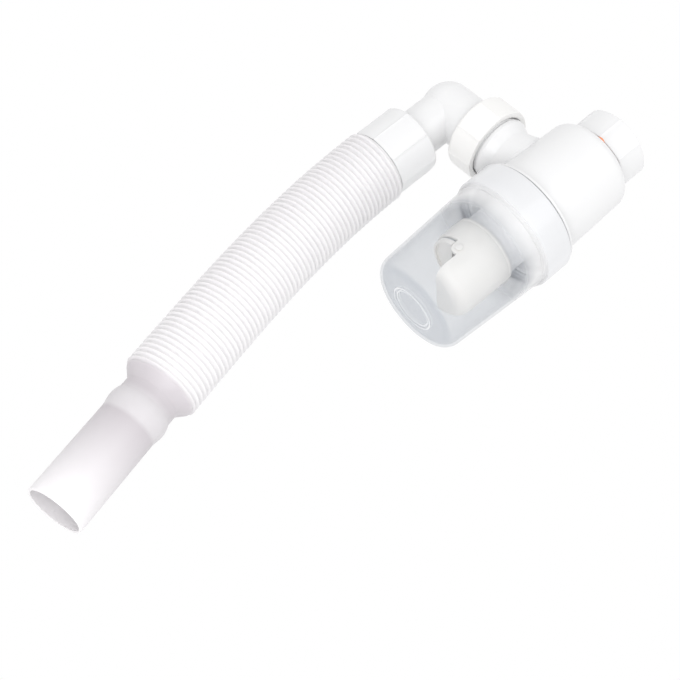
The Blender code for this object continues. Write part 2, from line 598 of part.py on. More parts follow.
def make_cup(clear, rubber):
    """The screw-on cup: collar, drafted wall, rounded base and the ring moulded on the base."""
    rim, base = CUP_RIM, CUP_BASE
    step = rim - CUP_COLLAR_HEIGHT
    round_level = base + CUP_ROUNDING
    ring_low = base - CUP_RING_HEIGHT
    wall_low = CUP_BASE_RADIUS
    profile = [(CUP_COLLAR_BORE, rim), (CUP_COLLAR_RADIUS - CUP_COLLAR_EDGE, rim)]
    profile += [(CUP_COLLAR_RADIUS, rim - CUP_COLLAR_EDGE), (CUP_COLLAR_RADIUS, step + CUP_COLLAR_EDGE)]
    profile += [(CUP_COLLAR_RADIUS - CUP_COLLAR_EDGE, step), (CUP_TOP_RADIUS, step - CUP_STEP)]
    profile += arc(wall_low - CUP_ROUNDING, round_level, CUP_ROUNDING, 0, -90, 4)
    profile += [(CUP_RING_RADIUS + CUP_RING_WIDTH, base), (CUP_RING_RADIUS + CUP_RING_WIDTH / 2, ring_low)]
    profile += [(CUP_RING_RADIUS - CUP_RING_WIDTH / 2, ring_low), (CUP_RING_RADIUS - CUP_RING_WIDTH, base)]
    profile += [(0, base), (0, base + CUP_WALL)]
    profile += arc(wall_low - CUP_ROUNDING, round_level, CUP_ROUNDING - CUP_WALL, -90, 0, 3)
    profile += [(CUP_TOP_RADIUS - CUP_WALL, step - CUP_STEP), (CUP_COLLAR_BORE, step + CUP_STEP)]
    moved = [(r, z - rim) for r, z in profile]
    add_piece("trap_cup", turned(moved, BODY_SIDES), clear, (0, 0, rim))

    seal_bore = SKIRT_RADIUS + CLEARANCE
    seal_radius = seal_bore + CUP_SEAL_WIDTH
    at_rim = (0, 0, rim)
    washer("cup_seal", seal_bore, seal_radius, CUP_SEAL_THICKNESS, rubber, at_rim, sides=BODY_SIDES)


# Elbow and its nuts

def make_elbow(white):
    """The elbow: a flange and a ball head along the branch, and the grooved leg that leaves it downwards."""
    origin = (0, 0, BRANCH_LEVEL)
    to_elbow = (0, -math.pi / 2, 0)
    flange_back = ELBOW_FACE + UNION_FLANGE_THICKNESS
    head = [(0, ELBOW_FACE), (UNION_FLANGE_RADIUS, ELBOW_FACE), (UNION_FLANGE_RADIUS, flange_back)]
    head += [(ELBOW_HEAD_RADIUS, flange_back)]
    head += arc(0, ELBOW_REACH, ELBOW_HEAD_RADIUS, 0, 90, 6)
    elbow = add_piece("elbow", turned(head, TUBE_SIDES, closed=False), white, origin, to_elbow)

    groove = ELBOW_RADIUS - SPLIT_RING_DEPTH
    groove_top = SPLIT_RING_START - CLEARANCE
    groove_foot = SPLIT_RING_START + SPLIT_RING_THICKNESS + CLEARANCE
    leg = [(0, 0), (ELBOW_RADIUS, 0), (ELBOW_RADIUS, -groove_top), (groove, -groove_top)]
    leg += [(groove, -groove_foot), (ELBOW_RADIUS, -groove_foot), (ELBOW_RADIUS, -ELBOW_END)]
    leg += [(0, -ELBOW_END)]
    at_leg = (-ELBOW_REACH, 0, BRANCH_LEVEL)
    leg_piece = add_piece("elbow_leg_helper", turned(leg, TUBE_SIDES, closed=False), None, at_leg)
    combine(elbow, leg_piece, "UNION")

    head_bore = ELBOW_HEAD_RADIUS - ELBOW_WALL
    hollow = [(0, ELBOW_FACE - OVERRUN), (head_bore, ELBOW_FACE - OVERRUN)]
    hollow += arc(0, ELBOW_REACH, head_bore, 0, 90, 5)
    ball = turned(hollow, TUBE_SIDES, closed=False)
    combine(elbow, add_piece("elbow_hollow_helper", ball, None, origin, to_elbow), "DIFFERENCE")

    leg_bore = ring_profile(0, ELBOW_RADIUS - ELBOW_WALL, -ELBOW_END - OVERRUN, 0)
    bore = turned(leg_bore, TUBE_SIDES, closed=False)
    combine(elbow, add_piece("elbow_bore_helper", bore, None, at_leg), "DIFFERENCE")


def make_elbow_seals(white, rubber):
    """The washers at the two ends of the elbow and the split ring that keeps the hose nut on it."""
    branch_section = (BRANCH_BORE, UNION_SEAL_RADIUS, UNION_SEAL_THICKNESS)
    along_branch = (0, math.pi / 2, 0)
    washer("branch_seal", *branch_section, rubber, (-BRANCH_SEAL_START, 0, BRANCH_LEVEL), along_branch)
    hose_section = (ELBOW_RADIUS - ELBOW_WALL, UNION_SEAL_RADIUS, UNION_SEAL_THICKNESS)
    washer("hose_seal", *hose_section, rubber, (-ELBOW_REACH, 0, BRANCH_LEVEL - HOSE_SEAL_START))

    ring_face = (-ELBOW_REACH, 0, BRANCH_LEVEL - SPLIT_RING_START)
    ring_bore = ELBOW_RADIUS - SPLIT_RING_DEPTH + CLEARANCE
    ring = washer("split_ring", ring_bore, UNION_FLANGE_RADIUS, SPLIT_RING_THICKNESS, white, ring_face)
    half_slot = SPLIT_RING_SLOT / 2
    reach = UNION_FLANGE_RADIUS + OVERRUN
    corners = [(0, -half_slot), (0, half_slot), (reach, half_slot), (reach, -half_slot)]
    depth = SPLIT_RING_THICKNESS + OVERRUN
    slot = add_piece("ring_slot_helper", prism(corners, "XY", -depth, depth), None, ring_face)
    combine(ring, slot, "DIFFERENCE")


def make_union_nuts(white):
    """The nut between the branch and the elbow, and the longer one between the elbow and the hose."""
    size = {
        "radius": UNION_NUT_RADIUS,
        "flat": UNION_NUT_FLAT,
        "length": UNION_NUT_LENGTH,
        "bore": UNION_NUT_BORE,
        "lip": UNION_LIP_THICKNESS,
        "lip_bore": BRANCH_LIP_BORE,
        "shoulder": UNION_NUT_SHOULDER,
        "turn": UNION_NUT_TURN,
    }
    octagon_nut("branch_nut", white, size, (-UNION_NUT_END, 0, BRANCH_LEVEL), (0, math.pi / 2, 0))
    size.update(radius=HOSE_NUT_RADIUS, flat=HOSE_NUT_FLAT, length=HOSE_NUT_LENGTH, turn=HOSE_NUT_TURN)
    size.update(lip_bore=HOSE_LIP_BORE)
    octagon_nut("hose_nut", white, size, (-ELBOW_REACH, 0, BRANCH_LEVEL - HOSE_NUT_DROP), (math.pi, 0, 0))


# Hose

def hose_walker():
    """Gives the place on the bent line of the hose at each next distance along it."""
    aside = Vector((math.cos(HOSE_BEND_TURN), math.sin(HOSE_BEND_TURN), 0))
    binormal = Vector((0, 0, -1)).cross(aside)
    bent_length = HOSE_RIDGES * HOSE_PITCH
    bend_start = HOSE_CUFF_END - HOSE_START
    centre = Vector((0, 0, 0))
    reached = 0

    def direction(distance):
        share = min(max((distance - bend_start) / bent_length, 0), 1)
        angle = HOSE_BEND * (1 - (1 - share) ** 2)
        return math.sin(angle) * aside + math.cos(angle) * Vector((0, 0, -1))

    def walk(distance):
        nonlocal centre, reached
        centre = centre + (distance - reached) * direction((distance + reached) / 2)
        reached = distance
        return centre.copy(), direction(distance).cross(binormal), binormal

    return walk


def hose_outlines():
    """The outer and the inner outline of the hose, each as (distance along it, radius) points."""
    cuff_bore = HOSE_CUFF_RADIUS - HOSE_SPIGOT_WALL
    lip_bore = ELBOW_RADIUS - ELBOW_WALL
    start = HOSE_CUFF_END - HOSE_START
    first = start + HOSE_CUFF_GAP
    outer = [(0, HOSE_CUFF_RADIUS), (start, HOSE_CUFF_RADIUS), (first, HOSE_ROOT_RADIUS)]
    inner = [(0, lip_bore), (HOSE_LIP_THICKNESS, lip_bore), (HOSE_LIP_THICKNESS, cuff_bore)]
    inner += [(start, cuff_bore), (first, HOSE_ROOT_RADIUS - HOSE_WALL)]
    for i in range(HOSE_RIDGES):
        for ridge_share, radius in ((1 / 2, HOSE_CREST_RADIUS), (1, HOSE_ROOT_RADIUS)):
            place = first + HOSE_PITCH * (i + ridge_share)
            outer.append((place, radius))
            inner.append((place, radius - HOSE_WALL))

    neck = first + HOSE_PITCH * HOSE_RIDGES + HOSE_CONE_LENGTH
    bead = neck + HOSE_NECK_LENGTH
    spigot = bead + HOSE_BEAD_LENGTH
    # The bead rises steeply from the neck and falls away gently to the spigot.
    bead_shares = ((0.3, 0.9), (0.5, 1.0), (0.75, 0.6))
    smooth = [(neck, HOSE_NECK_RADIUS), (bead, HOSE_NECK_RADIUS)]
    for length_share, rise_share in bead_shares:
        radius = HOSE_SPIGOT_RADIUS + rise_share * (HOSE_BEAD_RADIUS - HOSE_SPIGOT_RADIUS)
        smooth.append((bead + length_share * HOSE_BEAD_LENGTH, radius))
    smooth.append((spigot, HOSE_SPIGOT_RADIUS))
    smooth.append((spigot + HOSE_SPIGOT_LENGTH, HOSE_SPIGOT_RADIUS + HOSE_SPIGOT_FLARE))
    return outer + smooth, inner + [(place, radius - HOSE_SPIGOT_WALL) for place, radius in smooth]


def make_hose(white):
    """The blow-moulded hose: cuff, corrugations, cone, bead and spigot, inner wall following outer."""
    outer, inner = hose_outlines()
    walk = hose_walker()
    sections = [(*walk(place), radius) for place, radius in outer]
    walk = hose_walker()
    sections += [(*walk(place), radius) for place, radius in inner][::-1]
    add_piece("hose", swept(sections, HOSE_SIDES), white, (-ELBOW_REACH, 0, BRANCH_LEVEL - HOSE_START))


def main():
    clear_scene()
    white = make_look("white_polypropylene", (0.90, 0.91, 0.92), 0.32)
    warm_white = make_look("hose_polypropylene", (0.88, 0.87, 0.88), 0.40)
    cream = make_look("core_plastic", (0.88, 0.86, 0.80), 0.38)
    clear = make_look("translucent_polypropylene", (0.80, 0.84, 0.87), 0.20, transmission=0.7)
    orange = make_look("orange_silicone", (0.85, 0.28, 0.12), 0.55)
    rubber = make_look("seal_rubber", (0.72, 0.73, 0.74), 0.65)
    steel = make_look("stainless_steel", (0.62, 0.63, 0.64), 0.30, metallic=1.0)
    make_body(white)
    make_inlet(white, orange, rubber)
    make_core(cream, rubber)
    make_flap(cream, rubber, steel)
    make_cup(clear, rubber)
    make_elbow(white)
    make_elbow_seals(white, rubber)
    make_union_nuts(white)
    make_hose(warm_white)


main()
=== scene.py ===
"""Looks of the basin bottle trap.

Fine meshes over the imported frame, procedural materials and soft studio light. Outlines and
places are in millimetres in the part's frame. Materials, lamps and the floor are in metres.
"""

import json
import math

import bmesh
import bpy
import numpy as np
from mathutils import Matrix, Vector


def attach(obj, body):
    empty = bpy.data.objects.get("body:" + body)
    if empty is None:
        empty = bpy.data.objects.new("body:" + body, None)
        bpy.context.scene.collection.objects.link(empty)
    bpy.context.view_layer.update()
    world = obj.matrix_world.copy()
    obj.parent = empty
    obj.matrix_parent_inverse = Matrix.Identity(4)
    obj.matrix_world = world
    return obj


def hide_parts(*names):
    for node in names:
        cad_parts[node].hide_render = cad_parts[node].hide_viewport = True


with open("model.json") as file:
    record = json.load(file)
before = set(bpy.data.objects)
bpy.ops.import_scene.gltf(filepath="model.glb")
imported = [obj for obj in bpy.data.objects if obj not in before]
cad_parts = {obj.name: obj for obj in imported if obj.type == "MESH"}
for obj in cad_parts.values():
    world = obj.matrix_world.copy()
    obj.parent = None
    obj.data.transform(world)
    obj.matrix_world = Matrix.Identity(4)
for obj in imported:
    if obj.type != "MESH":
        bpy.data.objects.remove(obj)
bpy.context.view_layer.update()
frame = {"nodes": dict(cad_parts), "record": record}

# Places that several pieces share
BODY_TOP = -11.8
BODY_FOOT = -76.0
BRANCH_Z = -48.0
ELBOW_X = 102.6
SEAT_Z = -133.6
PIN_Z = -137.6
PIN_HOLE = 1.8
HOSE_TOP = BRANCH_Z - 48.5

# Fineness of the meshes
ROUND_COLUMNS = 128
DISC_COLUMNS = 48
SHARP_ANGLE = 35
LONGEST_ROUNDING = 0.49
SAME_POINT = 1e-7
SLIVER = 5e-6


# Outlines

def fillet(points, steps=5):
    """Rounds the corners of an outline of (r, z) or (r, z, radius) points."""
    rows = [(p[0], p[1], p[2] if len(p) > 2 else 0) for p in points]
    result = []
    for i, (x, y, radius) in enumerate(rows):
        if not radius:
            result.append((x, y))
            continue
        here = Vector((x, y))
        back = Vector(rows[i - 1][:2]) - here
        on = Vector(rows[(i + 1) % len(rows)][:2]) - here
        turn = back.angle(on)
        room = min(LONGEST_ROUNDING * back.length, LONGEST_ROUNDING * on.length)
        reach = min(radius / math.tan(turn / 2), room)
        back.normalize()
        on.normalize()
        radius = reach * math.tan(turn / 2)
        centre = here + (back + on).normalized() * (radius / math.sin(turn / 2))
        start = here + back * reach - centre
        end = here + on * reach - centre
        sweep = start.angle_signed(end)
        for k in range(steps + 1):
            result.append(tuple(centre + Matrix.Rotation(-sweep * k / steps, 2) @ start))
    return result


def densify(outline, longest):
    """Splits the long stretches of an open outline."""
    result = [outline[0]]
    for a, b in zip(outline, outline[1:]):
        parts = max(1, math.ceil(math.dist(a, b) / longest))
        for k in range(1, parts + 1):
            result.append((a[0] + (b[0] - a[0]) * k / parts, a[1] + (b[1] - a[1]) * k / parts))
    return result


def arc_points(x, y, radius, start, end, steps):
    """Points of an arc round (x, y), between two angles in degrees."""
    result = []
    for k in range(steps + 1):
        angle = math.radians(start + (end - start) * k / steps)
        result.append((x + radius * math.cos(angle), y + radius * math.sin(angle)))
    return result


def half_disc(radius, chord, steps):
    """The part of a disc on the -X side of a chord at a distance from its centre."""
    half = math.degrees(math.acos(chord / radius))
    return arc_points(0, 0, radius, 180 - half, 180 + half, steps)


def thread_ring(at, root, crest, steps, way=1):
    """One thread ring: its root, the two ends of its crest, and its root again."""
    radii = (root, crest, crest, root)
    return [(r, at + way * step) for r, step in zip(radii, (0, *steps))]


# Meshes

def shade(mesh, angle):
    """Smooth shading, with sharp edges over an angle in degrees."""
    mesh.shade_smooth()
    mesh.set_sharp_from_angle(angle=math.radians(angle))


def mesh_object(name, points, faces, angle=SHARP_ANGLE):
    """An object from points in millimetres."""
    mesh = bpy.data.meshes.new(name)
    mesh.from_pydata([tuple(c / 1000 for c in p) for p in points], [], faces)
    bm = bmesh.new()
    bm.from_mesh(mesh)
    bmesh.ops.remove_doubles(bm, verts=bm.verts, dist=SAME_POINT)
    bmesh.ops.recalc_face_normals(bm, faces=bm.faces)
    bm.to_mesh(mesh)
    bm.free()
    shade(mesh, angle)
    obj = bpy.data.objects.new(name, mesh)
    bpy.context.scene.collection.objects.link(obj)
    return obj


def grid_faces(rows, columns, close_rows=True, skip=()):
    """Quads of a grid that wraps round its columns."""
    faces = []
    for i in range(rows if close_rows else rows - 1):
        for j in range(columns):
            if (i, j) in skip:
                continue
            n = (i + 1) % rows
            m = (j + 1) % columns
            faces.append((i * columns + j, i * columns + m, n * columns + m, n * columns + j))
    return faces


def turned(name, outline, columns=ROUND_COLUMNS, shape=None, close=True, angle=SHARP_ANGLE):
    """A turned piece. shape(r, angle, z) may change the radius of a point."""
    points = []
    for r, z in outline:
        for j in range(columns):
            a = math.tau * j / columns
            reach = shape(r, a, z) if shape else r
            points.append((reach * math.cos(a), reach * math.sin(a), z))
    return mesh_object(name, points, grid_faces(len(outline), columns, close), angle)


def swept(name, sections, columns, angle):
    """A closed piece through (centre, normal, binormal, radius) rings."""
    around = np.linspace(0, math.tau, columns, endpoint=False)
    rings = []
    for centre, normal, binormal, radius in sections:
        spokes = np.outer(np.cos(around), normal) + np.outer(np.sin(around), binormal)
        rings.append(np.array(centre) + radius * spokes)
    points = np.concatenate(rings).tolist()
    return mesh_object(name, points, grid_faces(len(sections), columns), angle)


def place(obj, turn=None, at=(0, 0, 0)):
    """Turns a piece's mesh by (angle, axis) and moves it to a place."""
    matrix = Matrix.Translation(Vector(at) / 1000)
    if turn:
        matrix = matrix @ Matrix.Rotation(turn[0], 4, turn[1])
    obj.data.transform(matrix)
    return obj


def prism(name, outline, axis, low, high):
    """A closed prism of an outline, along Y from the XZ plane or along Z from the XY plane."""
    points = []
    for height in (low, high):
        for a, b in outline:
            points.append((a, height, b) if axis == "Y" else (a, b, height))
    n = len(outline)
    faces = [tuple(range(n)), tuple(range(2 * n - 1, n - 1, -1))]
    faces += [(i, (i + 1) % n, n + (i + 1) % n, n + i) for i in range(n)]
    return mesh_object(name, points, faces)


def disc(name, radius, half, at):
    """A cylinder along Y, centred at (x, z)."""
    outline = [(0, -half), (radius, -half), (radius, half), (0, half)]
    cylinder = turned(name, outline, DISC_COLUMNS, close=False)
    return place(cylinder, (math.pi / 2, "X"), (at[0], 0, at[1]))


def cut(obj, tool, operation="DIFFERENCE", angle=SHARP_ANGLE):
    """Applies an exact Boolean, clears its slivers and removes the tool."""
    modifier = obj.modifiers.new("cut", "BOOLEAN")
    modifier.operation = operation
    modifier.object = tool
    modifier.solver = "EXACT"
    graph = bpy.context.evaluated_depsgraph_get()
    mesh = bpy.data.meshes.new_from_object(obj.evaluated_get(graph))
    obj.modifiers.clear()
    obj.data = mesh
    bpy.data.objects.remove(tool)
    bm = bmesh.new()
    bm.from_mesh(mesh)
    bmesh.ops.remove_doubles(bm, verts=bm.verts, dist=SLIVER)
    bmesh.ops.dissolve_degenerate(bm, edges=bm.edges, dist=SLIVER)
    bm.to_mesh(mesh)
    bm.free()
    shade(mesh, angle)
    return obj


# Material nodes

def new_look(name, rough):
    """A plastic material and its Principled shader."""
    look = bpy.data.materials.new(name)
    look.use_nodes = True
    shader = look.node_tree.nodes["Principled BSDF"]
    shader.inputs["Roughness"].default_value = rough
    shader.inputs["IOR"].default_value = 1.49
    return look, shader


def give(look, value, socket):
    """Links a socket to another one, or sets it to a number or colour."""
    if isinstance(value, bpy.types.NodeSocket):
        look.node_tree.links.new(value, socket)
    else:
        socket.default_value = value


def own_place(look):
    """The place of a point of the piece, as a socket."""
    return look.node_tree.nodes.new("ShaderNodeTexCoord").outputs["Object"]


def noise_texture(look, where, scale):
    texture = look.node_tree.nodes.new("ShaderNodeTexNoise")
    texture.inputs["Scale"].default_value = scale
    give(look, where, texture.inputs["Vector"])
    return texture


def rising(look, value, start, end, curve="LINEAR"):
    """0 to 1 while a value goes from start to end."""
    node = look.node_tree.nodes.new("ShaderNodeMapRange")
    node.interpolation_type = curve
    node.inputs["From Min"].default_value = start
    node.inputs["From Max"].default_value = end
    give(look, value, node.inputs["Value"])
    return node.outputs["Result"]


def maths(look, kind, *values):
    """The result of a Math node on numbers or sockets. MULTIPLY_ADD stays between 0 and 1."""
    node = look.node_tree.nodes.new("ShaderNodeMath")
    node.operation = kind
    node.use_clamp = kind == "MULTIPLY_ADD"
    for value, socket in zip(values, node.inputs):
        give(look, value, socket)
    return node.outputs[0]


def blend(look, share, first, second, kind="MIX"):
    """A mix of two colours, each a socket or a colour with its alpha."""
    node = look.node_tree.nodes.new("ShaderNodeMixRGB")
    node.blend_type = kind
    for value, socket in zip((share, first, second), node.inputs):
        give(look, value, socket)
    return node.outputs["Color"]


# Materials

MOTTLE_SCALE = 22
GRAIN_SCALE = 260
GRAIN_DETAIL = 3
GRAIN_DEPTH = 0.0002
ROUGH_CHANGE = 0.05
SCATTER = (0.004, 0.004, 0.004)


def material(name, colour, rough, noise=0.02, bump=0.02, subsurface=0.0, depth=0.05):
    """A moulded plastic with slight procedural mottling, roughness change and grain."""
    look, shader = new_look(name, rough)
    shader.inputs["Subsurface Weight"].default_value = subsurface
    shader.inputs["Subsurface Radius"].default_value = SCATTER
    shader.inputs["Subsurface Scale"].default_value = depth
    where = own_place(look)
    mottle = noise_texture(look, where, MOTTLE_SCALE).outputs["Fac"]
    darker = (*[c * (1 - noise) for c in colour], 1)
    lighter = (*[min(1, c * (1 + noise)) for c in colour], 1)
    give(look, blend(look, mottle, darker, lighter), shader.inputs["Base Color"])
    spread = look.node_tree.nodes.new("ShaderNodeMapRange")
    spread.inputs["To Min"].default_value = rough - ROUGH_CHANGE
    spread.inputs["To Max"].default_value = rough + ROUGH_CHANGE
    give(look, mottle, spread.inputs["Value"])
    give(look, spread.outputs["Result"], shader.inputs["Roughness"])
    fine = noise_texture(look, where, GRAIN_SCALE)
    fine.inputs["Detail"].default_value = GRAIN_DETAIL
    grain = look.node_tree.nodes.new("ShaderNodeBump")
    grain.inputs["Strength"].default_value = bump
    grain.inputs["Distance"].default_value = GRAIN_DEPTH
    give(look, fine.outputs["Fac"], grain.inputs["Height"])
    give(look, grain.outputs["Normal"], shader.inputs["Normal"])
    return look


def banded(look, centre, axis, stops):
    """Changes a look's tone along an axis, at (metres from the centre, factors) stops."""
    tint = look.node_tree.nodes["Principled BSDF"].inputs["Base Color"]
    plain = tint.links[0].from_socket
    along = look.node_tree.nodes.new("ShaderNodeVectorMath")
    along.operation = "DOT_PRODUCT"
    along.inputs[1].default_value = axis
    give(look, own_place(look), along.inputs[0])
    start = Vector(centre).dot(Vector(axis))
    first, last = stops[0][0], stops[-1][0]
    share = rising(look, along.outputs["Value"], start + first, start + last)
    ramp = look.node_tree.nodes.new("ShaderNodeValToRGB")
    elements = ramp.color_ramp.elements
    elements[0].color = (*stops[0][1], 1)
    elements[-1].color = (*stops[-1][1], 1)
    for at, factors in stops[1:-1]:
        elements.new((at - first) / (last - first)).color = (*factors, 1)
    give(look, share, ramp.inputs["Fac"])
    give(look, blend(look, 1, plain, ramp.outputs["Color"], "MULTIPLY"), tint)


def steel(name):
    look = material(name, (0.62, 0.63, 0.64), 0.28, bump=0.04)
    look.node_tree.nodes["Principled BSDF"].inputs["Metallic"].default_value = 1
    return look


# Clear plastic of the cup: colours, heights where its look changes, rings as (radius, half width)
CUP_DEEP = (0.30, 0.34, 0.40, 1)
CUP_HAZE = (0.94, 0.94, 0.95, 1)
CUP_THICK = (0.73, 0.735, 0.75, 1)
CUP_ROUGH = 0.2
COLLAR_BAND = (-0.1000, -0.0975)
# Painted light: a pale veil on the band below the collar, over the shade inside the cup
PAINTED_LIGHT_BAND = (-0.1280, -0.1010)
BASE_BAND = (-0.1770, -0.1790)
BASE_RINGS = ((0.0165, 0.0004), (0.0140, 0.0003))
CLOUD_SCALE = 30

# How much each thing adds to the cover of the wall, from 0 for clear to 1 for solid
WALL_COVER = 0.12
CLOUD_COVER = 0.04
EDGE_COVER = 0.4
# Painted light: how solid the pale veil below the collar is
PAINTED_LIGHT_COVER = 0.36
COLLAR_COVER = 0.78
BASE_COVER = 0.15
RING_COVER = 0.16
EDGE_HAZE = 0.8


def base_rings(look, xyz, in_base):
    """1 on the two fine lines of the ring moulded in the base, and 0 elsewhere."""
    square = maths(look, "POWER", xyz["X"], 2)
    square = maths(look, "ADD", square, maths(look, "POWER", xyz["Y"], 2))
    radius = maths(look, "POWER", square, 0.5)
    edges = [maths(look, "COMPARE", radius, at, half) for at, half in BASE_RINGS]
    return maths(look, "MULTIPLY", maths(look, "ADD", *edges), in_base)


def clear_plastic(name):
    """A translucent wall: see-through face on, milkier at its edges, its base and its collar, with
    painted light as a pale veil on a band below the collar.
    """
    look, shader = new_look(name, CUP_ROUGH)
    where = own_place(look)
    split = look.node_tree.nodes.new("ShaderNodeSeparateXYZ")
    give(look, where, split.inputs[0])
    xyz = split.outputs
    in_collar = rising(look, xyz["Z"], *COLLAR_BAND, "SMOOTHSTEP")
    below_collar_painted_light = rising(look, xyz["Z"], *PAINTED_LIGHT_BAND, "SMOOTHSTEP")
    in_base = rising(look, xyz["Z"], *BASE_BAND, "SMOOTHSTEP")
    rings = base_rings(look, xyz, in_base)
    facing = look.node_tree.nodes.new("ShaderNodeLayerWeight")
    facing.inputs["Blend"].default_value = 0.5
    grazing = maths(look, "POWER", facing.outputs["Facing"], 3)

    cloud = noise_texture(look, where, CLOUD_SCALE).outputs["Fac"]
    cover = maths(look, "MULTIPLY_ADD", cloud, CLOUD_COVER, WALL_COVER - CLOUD_COVER / 2)
    cover = maths(look, "MULTIPLY_ADD", grazing, EDGE_COVER, cover)
    # Painted light: the band below the collar is veiled more solidly, over the shade inside
    cover = maths(look, "MULTIPLY_ADD", below_collar_painted_light, PAINTED_LIGHT_COVER, cover)
    cover = maths(look, "MULTIPLY_ADD", in_collar, COLLAR_COVER - PAINTED_LIGHT_COVER, cover)
    cover = maths(look, "MULTIPLY_ADD", in_base, BASE_COVER, cover)
    cover = maths(look, "MULTIPLY_ADD", rings, RING_COVER, cover)
    give(look, cover, shader.inputs["Alpha"])

    pale = maths(look, "MULTIPLY", grazing, EDGE_HAZE)
    # Painted light: the same band below the collar is painted pale
    pale = maths(look, "MULTIPLY_ADD", below_collar_painted_light, 1, pale)
    pale = maths(look, "MULTIPLY_ADD", rings, 1, pale)
    tone = blend(look, pale, CUP_DEEP, CUP_HAZE)
    give(look, blend(look, in_collar, tone, CUP_THICK), shader.inputs["Base Color"])
    return look


WHITE = material("white_plastic", (0.745, 0.745, 0.75), 0.30, subsurface=0.15)
# Painted light: a lighter, slightly warm copy of the white plastic, lifting the shade on the
# branch nut
NUT_LIT_WHITE = material("nut_lit_white_plastic", (0.80, 0.795, 0.785), 0.32, subsurface=0.15)
HOSE = material("hose_plastic", (0.75, 0.735, 0.747), 0.45, subsurface=0.7, depth=0.5)
# The cream is the core's own colour; its lightness is partly painted light, lifting the shade
# inside the cup
LIT_CREAM = material("cream_plastic", (0.935, 0.91, 0.87), 0.38, subsurface=0.1)
# Painted light: a much lighter copy of the white plastic for the dip tube, lifting the shade
# inside the cup
TUBE_LIT_WHITE = material("tube_lit_white_plastic", (0.95, 0.945, 0.94), 0.34, subsurface=0.1)
ORANGE = material("orange_silicone", (0.85, 0.30, 0.14), 0.5, noise=0.06)
RUBBER = material("seal_rubber", (0.55, 0.56, 0.57), 0.6, noise=0.05)
CLEAR_WALL = clear_plastic("clear_plastic")
STEEL = steel("stainless_steel")
SLOTS = {
    "white_plastic": WHITE,
    "hose_plastic": HOSE,
    "cream_plastic": LIT_CREAM,
    "clear_plastic": CLEAR_WALL,
    "orange_silicone": ORANGE,
    "seal_rubber": RUBBER,
    "stainless_steel": STEEL,
}


def dress(obj, look):
    """Gives a piece its material."""
    obj.data.materials.clear()
    obj.data.materials.append(look)


def stands_for(obj, body, node, slot, look=None):
    """A fine piece that stands for a CAD node and moves with its body."""
    dress(obj, look or SLOTS[slot])
    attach(obj, body)
    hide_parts(node)
    return obj


# Body

BARREL_TOP_RADIUS = 33.5
BARREL_TAPER = 2.2
BARREL_WALL = 2.5
INLET_RADIUS = 17.8
SHOULDER_ROUND = 8.5
CEILING_Z = -14.3
FLANGE_TOP = -73.9
FLANGE_RADIUS = 40.4
SKIRT_RADIUS = 37.6
SKIRT_ROOT = 37.3
SKIRT_CREST = 38.5
SKIRT_THREAD_TOP = -78.0
SKIRT_THREADS = 4
SKIRT_PITCH = 3.6
SKIRT_STEPS = (1.0, 1.7, 2.7)
SKIRT_FOOT = -93.8
BODY_COLUMNS = 192
BODY_SHARP = 30

# Branch, and the hole for it as a block of the barrel's grid
BRANCH_RADIUS = 19.6
BRANCH_BORE = 16.5
BRANCH_FILLET = 2.6
BRANCH_INNER_FILLET = -0.6
BRANCH_END = 66.0
COLLAR_RADIUS = 22.9
BRANCH_ROOT = 21.2
BRANCH_CREST = 22.1
BRANCH_THREAD_START = 54.6
BRANCH_THREADS = 3
BRANCH_PITCH = 3.4
BRANCH_STEPS = (0.9, 1.6, 2.5)
HOLE_REACH = 23.0
HOLE_ROWS = 30
HOLE_HALF = 22
HOLE_MIDDLE = BODY_COLUMNS // 2
PATCH_ROWS = 5


def barrel_radius(z):
    """Outer radius of the tapered barrel at a height."""
    share = (BODY_TOP - z) / (BODY_TOP - BODY_FOOT)
    return BARREL_TOP_RADIUS + BARREL_TAPER * share


def body_outline():
    """(r, z) rows of the body, and the rows where the hole starts outside and inside."""
    high, low = BRANCH_Z + HOLE_REACH, BRANCH_Z - HOLE_REACH
    on_barrel = -45.0
    above_hole = -22.5
    shoulder = fillet([
        (INLET_RADIUS, BODY_TOP), (BARREL_TOP_RADIUS, BODY_TOP, SHOULDER_ROUND),
        (barrel_radius(on_barrel), on_barrel),
    ], 14)
    block = [(barrel_radius(z), z) for z in np.linspace(high, low, HOLE_ROWS + 1)]
    outside = densify(shoulder[:-1], 4) + [(barrel_radius(above_hole), above_hole)] + block
    inside = fillet([
        block[-1],
        (35.5, FLANGE_TOP, 0.8), (FLANGE_RADIUS, FLANGE_TOP, 0.7), (FLANGE_RADIUS, BODY_FOOT, 0.5),
        (SKIRT_RADIUS, BODY_FOOT, 0.3), (SKIRT_RADIUS, -77.5),
    ])[1:]
    for k in range(SKIRT_THREADS):
        top = SKIRT_THREAD_TOP - SKIRT_PITCH * k
        inside += thread_ring(top, SKIRT_ROOT, SKIRT_CREST, SKIRT_STEPS, -1)
    inside += [(SKIRT_ROOT, -93.3), (36.8, SKIRT_FOOT), (34.2, SKIRT_FOOT), (33.8, -93.4)]
    inside += [(33.3, BODY_FOOT)]
    inner = [(barrel_radius(z) - BARREL_WALL, z) for z in np.linspace(low, high, HOLE_ROWS + 1)]
    ceiling = fillet([inner[-1], (31.0, CEILING_Z, 6.0), (INLET_RADIUS, CEILING_Z)], 8)[1:]
    outer_start = len(outside) - HOLE_ROWS - 1
    inner_start = len(outside) + len(inside)
    return outside + inside + inner + ceiling, outer_start, inner_start


